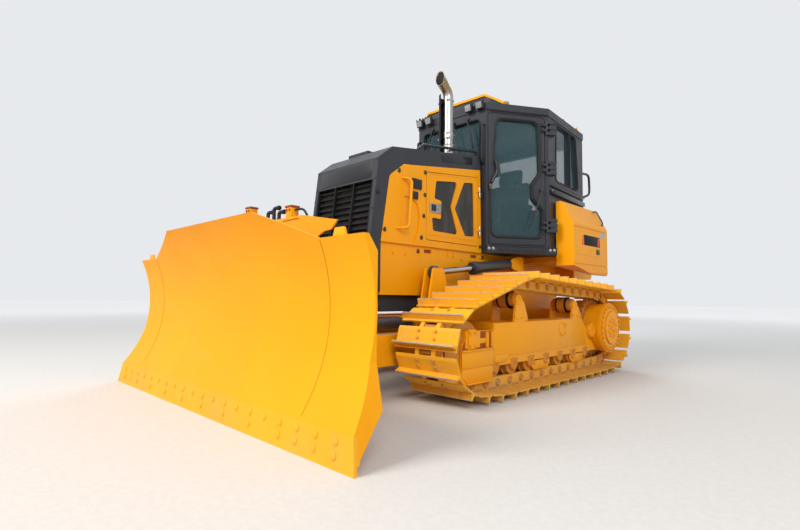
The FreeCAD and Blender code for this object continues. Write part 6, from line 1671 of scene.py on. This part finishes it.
@dataclass
class InteriorDressing:
    """Seat pads, arm pads, display and mirror that show through the cab's glass."""

    seat_front: float = 3.255
    seat_rear: float = 3.740
    seat_height: float = 1.570

    def dress(self, bench: Bench) -> None:
        """Build and mount every piece.

        Args:
            bench: Where the pieces are made.
        """
        middle = station((self.seat_front + self.seat_rear) / 2)
        cushion = [bench.slab("seat_pad_middle", (0.0, middle - 0.01, self.seat_height + 0.020),
                              (0.300, 0.470, 0.070), 0.030, segments=4)]
        for side, sign in SIDES:
            cushion.append(bench.slab("seat_bolster", (sign * 0.205, middle - 0.01, self.seat_height + 0.030),
                                      (0.110, 0.470, 0.090), 0.040, segments=4))
        piece = bench.joined("seat_cushion_pads", cushion)
        bench.mount(piece, "tractor", Finish.CLOTH)
        tilt = math.radians(-11.0)
        back = [bench.slab("back_pad_middle", (0.0, station(3.700), 1.860), (0.290, 0.070, 0.480), 0.030,
                           (tilt, 0, 0), 4)]
        for side, sign in SIDES:
            back.append(bench.slab("back_bolster", (sign * 0.195, station(3.690), 1.860),
                                   (0.100, 0.100, 0.480), 0.045, (tilt, 0, 0), 4))
        piece = bench.joined("seat_back_pads", back)
        bench.mount(piece, "tractor", Finish.CLOTH)
        head = bench.slab("seat_head_pad", (0.0, station(3.815), 2.225), (0.290, 0.110, 0.190), 0.050,
                          (tilt, 0, 0), 4)
        bench.mount(head, "tractor", Finish.CLOTH)
        arms = bench.slab("arm_pad_left", (0.350, station(3.430), 1.800), (0.110, 0.430, 0.050), 0.022,
                          segments=4)
        bench.mount_pair(arms, "tractor", Finish.PLASTIC)
        stand = [bench.tube("display_stand", [(0.270, station(2.880), 1.820), (0.300, station(2.960), 1.980),
                                              (0.300, station(2.980), 2.040)], 0.014),
                 bench.slab("display_case", (0.300, station(2.975), 2.110), (0.230, 0.040, 0.160), 0.014,
                            (math.radians(10), 0, math.radians(-15)), 3)]
        bench.mount(bench.joined("display", stand), "tractor", Finish.PLASTIC)
        glass = bench.slab("display_screen", (0.294, station(2.997), 2.106), (0.200, 0.004, 0.130), 0.002,
                           (math.radians(10), 0, math.radians(-15)))
        bench.mount(glass, "tractor", Finish.SCREENGLOW)
        mirror = [bench.tube("mirror_stem", [(0.0, station(2.740), 2.640), (0.0, station(2.760), 2.540)], 0.006),
                  bench.slab("mirror_case", (0.0, station(2.765), 2.520), (0.240, 0.020, 0.075), 0.008)]
        bench.mount(bench.joined("cab_mirror", mirror), "tractor", Finish.PLASTIC)


@dataclass(frozen=True)
class Ram:
    """One cylinder's line: rear pin, front pin, and its barrel."""

    name: str
    barrel_body: str
    rod_body: str
    base: Point
    eye: Point
    reach: float
    radius: float
    rod: float

    def heading(self) -> Vector:
        """Direction from the rear pin to the front pin."""
        return (Vector(self.eye) - Vector(self.base)).normalized()

    def at(self, ahead: float) -> Vector:
        """Point on the line at a distance ahead of the barrel's mouth."""
        return Vector(self.eye) - self.heading() * (self.reach - ahead)


@dataclass
class HydraulicDressing:
    """Glands, ports, pipes and dark eyes of the cylinders."""

    eye_radius: float = 0.055
    eye_width: float = 0.050
    rams: tuple[Ram, ...] = (
        Ram("lift", "lift_barrel_left", "lift_rod_left", (0.52, 0.570, 1.105), (0.52, -0.624, 0.972),
            0.560, 0.052, 0.029),
        Ram("angle", "push_frame", "angle_rod_left", (0.52, -0.970, 0.560), (0.52, -1.860, 0.560),
            0.330, 0.045, 0.024))
    tilt: Ram = Ram("tilt", "tilt_barrel", "tilt_rod", (-0.090, -2.000, 0.950), (-0.800, -2.000, 0.790),
                    0.270, 0.042, 0.022)

    def dress(self, bench: Bench) -> None:
        """Build and mount every piece.

        Args:
            bench: Where the pieces are made.
        """
        for ram in self.rams:
            for kind, finish in (("gland", Finish.BARREL), ("pipes", Finish.TRIM)):
                piece = getattr(self, kind)(bench, ram, f"{ram.name}_{kind}_left")
                bench.mount_pair(piece, ram.barrel_body, finish)
            piece = self.eye(bench, ram, f"{ram.name}_eye_left")
            bench.mount_pair(piece, ram.rod_body, Finish.BARREL)
        bench.mount(self.gland(bench, self.tilt, "tilt_gland"), "tilt_barrel", Finish.BARREL)
        bench.mount(self.pipes(bench, self.tilt, "tilt_pipes"), "tilt_barrel", Finish.TRIM)

    def gland(self, bench: Bench, ram: Ram, name: str) -> bpy.types.Object:
        """Collar at a barrel's mouth, with its ring of screws."""
        rod, out = ram.rod + 0.002, ram.radius
        collar = bench.ring("gland_collar", tuple(ram.at(0.0)), Axis.Z, [
            (rod, 0.030), (out - 0.006, 0.030), (out + 0.006, 0.024), (out + 0.010, 0.016),
            (out + 0.010, -0.030), (out + 0.005, -0.036), (out + 0.005, -0.070), (out - 0.001, -0.078),
            (out - 0.003, -0.078), (out - 0.003, -0.002), (rod, -0.002)], 36, aim(ram.heading()))
        screw = bench.bolt("gland_screw", (0, 0, 0), 0.0065, Axis.Z, washer=False)
        turn = ram.heading().to_track_quat("Z", "Y").to_matrix().to_4x4()
        places = []
        for i in range(8):
            angle = math.pi * (i + 0.5) / 4
            spot = Matrix.Translation(((out - 0.008) * math.cos(angle), (out - 0.008) * math.sin(angle), 0.029))
            places.append(Matrix.Translation(ram.at(0.0)) @ turn @ spot)
        return bench.joined(name, [collar, bench.scattered("gland_screws", screw, places)])

    def pipes(self, bench: Bench, ram: Ram, name: str) -> bpy.types.Object:
        """Port block and the hard pipe along a barrel, on its side toward the machine's middle."""
        heading = ram.heading()
        flat = Vector((-1.0, 0.0, 0.0)) if abs(heading.x) < 0.5 else Vector((0.0, 1.0, 0.0))
        length = (Vector(ram.eye) - Vector(ram.base)).length - ram.reach - self.eye_radius
        parts = []
        for back in (0.055, length - 0.010):
            spot = ram.at(-back) + flat * (ram.radius + 0.006)
            parts.append(bench.slab("port_block", tuple(spot), (0.030, 0.030, 0.030), 0.004))
        near = ram.at(-0.070) + flat * (ram.radius + 0.016)
        far = ram.at(-(length - 0.010)) + flat * (ram.radius + 0.016)
        parts.append(bench.tube("hard_pipe", [tuple(near), tuple(far)], 0.0075))
        for share in (0.3, 0.7):
            spot = near.lerp(far, share) - flat * 0.006
            parts.append(bench.slab("pipe_clip", tuple(spot), (0.026, 0.022, 0.026), 0.003))
        return bench.joined(name, parts)

    def eye(self, bench: Bench, ram: Ram, name: str) -> bpy.types.Object:
        """Dark sleeve round a rod's eye, and the collar where the rod meets it."""
        pin = Axis.X if ram.name == "lift" else Axis.Z
        half = self.eye_width / 2 + 0.0005
        sleeve = bench.ring("eye_sleeve", ram.eye, pin, [
            (0.032 if ram.name == "lift" else 0.010, -half), (self.eye_radius - 0.003, -half),
            (self.eye_radius + 0.001, -half + 0.004), (self.eye_radius + 0.001, half - 0.004),
            (self.eye_radius - 0.003, half), (0.032 if ram.name == "lift" else 0.010, half)], 36)
        collar = bench.ring("eye_collar", tuple(Vector(ram.eye) - ram.heading() * (self.eye_radius + 0.006)),
                            Axis.Z, [
            (ram.rod - 0.001, -0.012), (ram.rod + 0.006, -0.012), (ram.rod + 0.008, -0.006),
            (ram.rod + 0.008, 0.012), (ram.rod - 0.001, 0.012)], 28, aim(ram.heading()))
        return bench.joined(name, [sleeve, collar])


@dataclass
class MastDressing:
    """Two small yellow boxes with red-brown lids of painted shade, black fittings and a short hose on the push
    frame's mast.
    """

    distance: float = 0.700
    plate: float = 0.650
    boxes: tuple[Point, ...] = ((-0.622, 1.415, 1.500), (0.004, 1.347, 1.436))
    shelf: float = 1.336
    fittings: tuple[tuple[float, float], ...] = ((-0.315, 1.430), (-0.225, 1.455), (-0.150, 1.415))

    def dress(self, bench: Bench) -> None:
        """Build and mount every piece.

        Args:
            bench: Where the pieces are made.
        """
        y = station(self.distance)
        stem = station(self.plate) + 0.006
        boxes = [bench.slab("mast_stem", (-0.622, stem, 1.348), (0.056, 0.012, 0.196), 0.003),
                 bench.slab("mast_shelf", (-0.225, y - 0.022, self.shelf - 0.006), (0.270, 0.056, 0.012),
                            0.003)]
        shade_lids, black = [], []
        for across, foot, top in self.boxes:
            boxes.append(bench.slab("mast_box", (across, y, (foot + top) / 2), (0.078, 0.072, top - foot),
                                    0.008))
            # Lids and their ports are red-brown: painted shade of a bracket in shadow on top of each box.
            shade_lids.append(bench.slab("mast_shade_lid", (across, y, top + 0.006), (0.090, 0.080, 0.016), 0.003))
            for step in (-0.020, 0.020):
                shade_lids.append(bench.drum("mast_port", (across + step, y - 0.037, top - 0.022), 0.011, 0.010,
                                       Axis.Y, 20, 0.002, (0.004, 0.002)))
        bench.mount(bench.joined("mast_boxes", boxes), "push_frame", Finish.YELLOW)
        bench.mount(bench.joined("mast_box_shade_lids", shade_lids), "push_frame", Finish.SHADE_BROWN)
        near = y - 0.020
        for across, top in self.fittings:
            black.append(bench.drum("fitting_nut", (across, near, self.shelf + 0.014), 0.022, 0.032, Axis.Z,
                                    6, 0.003))
            black.append(bench.tube("fitting_elbow", [
                (across, near, self.shelf + 0.028), (across, near, top), (across + 0.050, near + 0.012, top)],
                0.015, 0.022))
            black.append(bench.drum("fitting_collar", (across + 0.052, near + 0.012, top), 0.019, 0.022,
                                    Axis.X, 24, 0.003))
        across, foot, top = self.boxes[1]
        black.append(bench.tube("mast_hose", [
            (across + 0.046, y, top - 0.020), (across + 0.150, y, top - 0.024), (across + 0.210, y, foot),
            (across + 0.150, y + 0.020, foot - 0.090), (across + 0.100, y + 0.020, foot - 0.110)],
            0.009, 0.045))
        bench.mount(bench.joined("mast_hoses", black), "push_frame", Finish.RUBBER)


@dataclass
class RearDressing:
    """Blank plates and latch of the fender boxes, and the trim of the tank and the drawbar."""

    box: float = 1.020
    tank: float = 4.780

    def dress(self, bench: Bench, nodes: dict) -> None:
        """Build and mount every piece.

        Args:
            bench: Where the pieces are made.
            nodes: The frame's nodes.
        """
        self.dress_fender(bench)
        self.dress_tank(bench, Probe(nodes["fuel_tank"]))
        self.dress_hitch(bench)

    def dress_fender(self, bench: Bench) -> None:
        """Blank plate with slanting end bars, a small label, a latch and a grab bar."""
        for name, outline, finish, slot in (
                ("fender_plate_left", ((3.596, 1.322), (3.588, 1.430), (3.985, 1.430), (3.993, 1.322)),
                 Finish.PLATE, "charcoal"),
                ("fender_flash_left", ((3.538, 1.322), (3.560, 1.422), (3.582, 1.422), (3.588, 1.322)),
                 Finish.FLASH, "yellow"),
                ("fender_label_left", ((4.020, 1.425), (4.020, 1.500), (4.118, 1.500), (4.118, 1.425)),
                 Finish.LABEL, "charcoal")):
            piece = bench.panel(name, outline, Axis.Y, -0.0015, 0.004, 0.001)
            bench.mount_pair(bench.carried(piece, FENDER_WALL), "tractor", finish)
        flash = bench.panel("fender_flash_far_left", (
            (3.925, 1.334), (3.940, 1.418), (3.962, 1.418), (3.966, 1.334)), Axis.Y, -0.003, 0.003, 0.001)
        bench.mount_pair(bench.carried(flash, FENDER_WALL), "tractor", Finish.FLASH)
        latch = [bench.slab("latch_plate", (3.942, -0.002, 1.268), (0.086, 0.006, 0.056), 0.003),
                 bench.slab("latch_paddle", (3.942, -0.006, 1.262), (0.056, 0.007, 0.026), 0.003)]
        piece = bench.carried(bench.joined("fender_latch_left", latch), FENDER_WALL)
        bench.mount_pair(piece, "tractor", Finish.BRONZE)
        ridge = bench.slab("fender_ridge_left", (3.780, -0.0005, 1.217), (0.800, 0.003, 0.004), 0.001)
        bench.mount_pair(bench.carried(ridge, FENDER_WALL), "tractor", Finish.YELLOW)
        bar = bench.tube("fender_grab_left", [
            (0.905, station(4.070), 1.735), (0.950, station(4.075), 1.748), (1.012, station(4.108), 1.606),
            (0.985, station(4.120), 1.560)], 0.0075, 0.030)
        bench.mount_pair(bar, "tractor", Finish.TRIM)

    def dress_tank(self, bench: Bench, tank: Probe) -> None:
        """Straps, filler, vent, sight strip and lamps of the fuel tank."""
        straps = []
        for side in (-0.42, 0.42):
            straps.append(bench.slab("tank_strap", (side, station(self.tank) - 0.001, 1.44),
                                     (0.060, 0.006, 0.800), 0.002))
            for height in (1.10, 1.78):
                straps.append(bench.bolt("strap_bolt", (side, station(self.tank) + 0.002 - 0.004, height),
                                         0.013, Axis.Y, 1.0))
        bench.mount(bench.joined("tank_straps", straps), "tractor", Finish.YELLOW)
        point, _ = tank.land((0.42, station(4.50), 2.6), (0, 0, -1))
        filler = [bench.ring("filler_neck", tuple(point), Axis.Z, [
                      (0.0, -0.004), (0.070, -0.004), (0.070, 0.012), (0.056, 0.018), (0.0, 0.018)], 40),
                  bench.drum("filler_cap", (point.x, point.y, point.z + 0.034), 0.050, 0.036, Axis.Z, 40,
                             0.005, (0.012, 0.006)),
                  bench.slab("filler_grip", (point.x, point.y, point.z + 0.056), (0.080, 0.018, 0.016),
                             0.005)]
        bench.mount(bench.joined("tank_filler", filler), "tractor", Finish.TRIM)
        vent = [bench.drum("vent_foot", (-0.35, point.y, point.z + 0.012), 0.024, 0.030, Axis.Z, 6, 0.002),
                bench.drum("vent_cap", (-0.35, point.y, point.z + 0.045), 0.034, 0.040, Axis.Z, 32, 0.008)]
        bench.mount(bench.joined("tank_vent", vent), "tractor", Finish.PLASTIC)
        back = station(self.tank)
        case, lens, red = [], [], []
        for side, sign in SIDES:
            case.append(bench.slab("tail_case", (sign * 0.50, back - 0.002, 1.66), (0.080, 0.018, 0.180),
                                   0.006))
            red.append(bench.slab("tail_lens", (sign * 0.50, back + 0.002, 1.70), (0.062, 0.014, 0.074),
                                  0.005))
            lens.append(bench.slab("tail_amber", (sign * 0.50, back + 0.002, 1.618), (0.062, 0.014, 0.068),
                                   0.005))
        for name, parts, finish, slot in (("tail_cases", case, Finish.PLASTIC, "black"),
                                          ("tail_red", red, Finish.RED_LENS, "yellow"),
                                          ("tail_amber", lens, Finish.AMBER_LENS, "yellow")):
            piece = bench.joined(name, parts)
            piece.data.transform(Matrix.Translation((0, -0.010, 0)))
            bench.mount(piece, "tractor", finish)
        sight = bench.slab("tank_sight", (0.0, back - 0.006, 1.50), (0.050, 0.012, 0.300), 0.004)
        bench.mount(sight, "tractor", Finish.PLASTIC)

    def dress_hitch(self, bench: Bench) -> None:
        """Bolts round the drawbar's foot."""
        head = bench.bolt("hitch_bolt", (0, 0, 0), 0.018, Axis.Z)
        y = station(4.560)
        spots = [(side, y, 0.520) for side in (-0.070, 0.070)]
        bench.mount(bench.spread("hitch_bolts", head, spots), "tractor", Finish.DARK_STEEL)


@dataclass
class Studio:
    """Pale floor, soft lamps and the camera at the photograph's viewing angle."""

    camera_place: Point = (3.197, -3.762, 0.763)
    yaw: float = 44.5
    pitch: float = 3.712
    roll: float = 0.6
    lens: float = 21.92
    sensor: float = 36.0
    floor_radius: float = 60.0
    floor_colour: Colour = (0.62, 0.60, 0.57)
    backdrop: Colour = (0.80, 0.82, 0.85)
    sweep_start: float = 4.5
    sweep_end: float = 22.0
    sweep_glow: Colour = (0.46, 0.46, 0.47)

    def build(self) -> None:
        """Make floor, world, lamps and camera."""
        self.make_floor()
        self.make_world()
        self.make_lamps()
        self.make_camera()

    def make_camera(self) -> None:
        """Place the camera as the photograph's perspective says."""
        yaw, pitch, roll = (math.radians(a) for a in (self.yaw, self.pitch, self.roll))
        ahead = Vector((-math.sin(yaw) * math.cos(pitch), math.cos(yaw) * math.cos(pitch),
                        math.sin(pitch)))
        level = Vector((math.cos(yaw), math.sin(yaw), 0.0))
        above = level.cross(ahead)
        right = level * math.cos(roll) + above * math.sin(roll)
        up = above * math.cos(roll) - level * math.sin(roll)
        turn = Matrix((right, up, -ahead)).transposed()
        data = bpy.data.cameras.new("camera")
        data.sensor_width = self.sensor
        data.lens = self.lens
        camera = bpy.data.objects.new("camera", data)
        camera.matrix_world = Matrix.Translation(self.camera_place) @ turn.to_4x4()
        bpy.context.scene.collection.objects.link(camera)
        bpy.context.scene.camera = camera

    def make_floor(self) -> None:
        """Wide pale floor that fades into the backdrop."""
        bpy.ops.object.select_all(action="DESELECT")
        bpy.ops.mesh.primitive_circle_add(vertices=96, radius=self.floor_radius, fill_type="NGON")
        floor = bpy.context.object
        floor.name = "studio_floor"
        graph = Graph("studio_floor")
        grain = graph.noise(30.0, 6.0).ramp(0.3, 0.7)
        darker = tuple(c * 0.95 for c in self.floor_colour)
        reach = graph.node("ShaderNodeVectorMath", {"operation": "LENGTH"}, {0: graph.place()}, "Value")
        far = reach.ramp(self.sweep_start, self.sweep_end)
        graph.set(Base_Color=graph.mix(grain, self.floor_colour, darker), Roughness=0.9,
                  Emission_Color=graph.mix(far, (0.0, 0.0, 0.0), self.sweep_glow), Emission_Strength=1.0)
        floor.data.materials.append(graph.material)

    def make_world(self) -> None:
        """Pale backdrop for the eye and for reflections, and a plain fill for the object."""
        world = bpy.data.worlds.new("studio")
        bpy.context.scene.world = world
        world.use_nodes = True
        tree = world.node_tree
        tree.nodes.clear()
        path = tree.nodes.new("ShaderNodeLightPath")
        seen = tree.nodes.new("ShaderNodeMath")
        seen.operation = "MAXIMUM"
        tree.links.new(path.outputs["Is Camera Ray"], seen.inputs[0])
        tree.links.new(path.outputs["Is Transmission Ray"], seen.inputs[1])
        clear = tree.nodes.new("ShaderNodeMath")
        clear.operation = "MAXIMUM"
        tree.links.new(seen.outputs[0], clear.inputs[0])
        tree.links.new(path.outputs["Is Glossy Ray"], clear.inputs[1])
        fill = tree.nodes.new("ShaderNodeBackground")
        fill.inputs["Color"].default_value = (0.86, 0.92, 1.0, 1.0)
        fill.inputs["Strength"].default_value = 0.62
        shown = tree.nodes.new("ShaderNodeBackground")
        shown.inputs["Color"].default_value = (*self.backdrop, 1.0)
        shown.inputs["Strength"].default_value = 1.0
        mix = tree.nodes.new("ShaderNodeMixShader")
        output = tree.nodes.new("ShaderNodeOutputWorld")
        tree.links.new(clear.outputs[0], mix.inputs[0])
        tree.links.new(fill.outputs[0], mix.inputs[1])
        tree.links.new(shown.outputs[0], mix.inputs[2])
        tree.links.new(mix.outputs[0], output.inputs["Surface"])

    def make_lamps(self) -> None:
        """Large key lamp ahead of the blade and two softer ones."""
        self.lamp("key", (-1.5, -9.5, 8.5), (0.0, -0.6, 0.9), 5.0, 1080.0, (1.0, 0.97, 0.92))
        self.lamp("side", (8.2, -6.2, 6.8), (0.0, 0.3, 1.0), 5.0, 580.0, (1.0, 0.98, 0.95))
        self.lamp("rear", (-6.0, 8.0, 7.5), (0.0, 0.3, 1.2), 6.0, 520.0, (0.92, 0.96, 1.0))

    def lamp(self, name: str, place: Point, target: Point, size: float, power: float,
             colour: Colour) -> None:
        """Add one square area lamp.

        Args:
            name: The lamp's name.
            place: Where it stands.
            target: Where it points.
            size: Side of the lamp.
            power: Watts.
            colour: Its light's colour.
        """
        data = bpy.data.lights.new(name, "AREA")
        data.energy, data.size, data.color = power, size, colour
        item = bpy.data.objects.new(name, data)
        item.location = place
        item.rotation_euler = (Vector(target) - Vector(place)).to_track_quat("-Z", "Y").to_euler()
        bpy.context.scene.collection.objects.link(item)


def main() -> None:
    """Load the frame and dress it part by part."""
    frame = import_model()
    bpy.context.scene.view_settings.view_transform = "Standard"
    Studio().build()
    shop = PaintShop()
    shop.coat_frame(frame)
    bench = Bench(shop)
    nodes = frame["nodes"]
    BladeDressing().dress(bench, nodes)
    TrackDressing().dress(bench)
    UndercarriageDressing().dress(bench)
    HydraulicDressing().dress(bench)
    MastDressing().dress(bench)
    HoodDressing().dress(bench, nodes)
    ExhaustDressing().dress(bench)
    CabDressing().dress(bench)
    InteriorDressing().dress(bench)
    RearDressing().dress(bench, nodes)
    LOG.info("%d pieces mounted", bench.mounted)


if __name__ == "__main__":
    main()
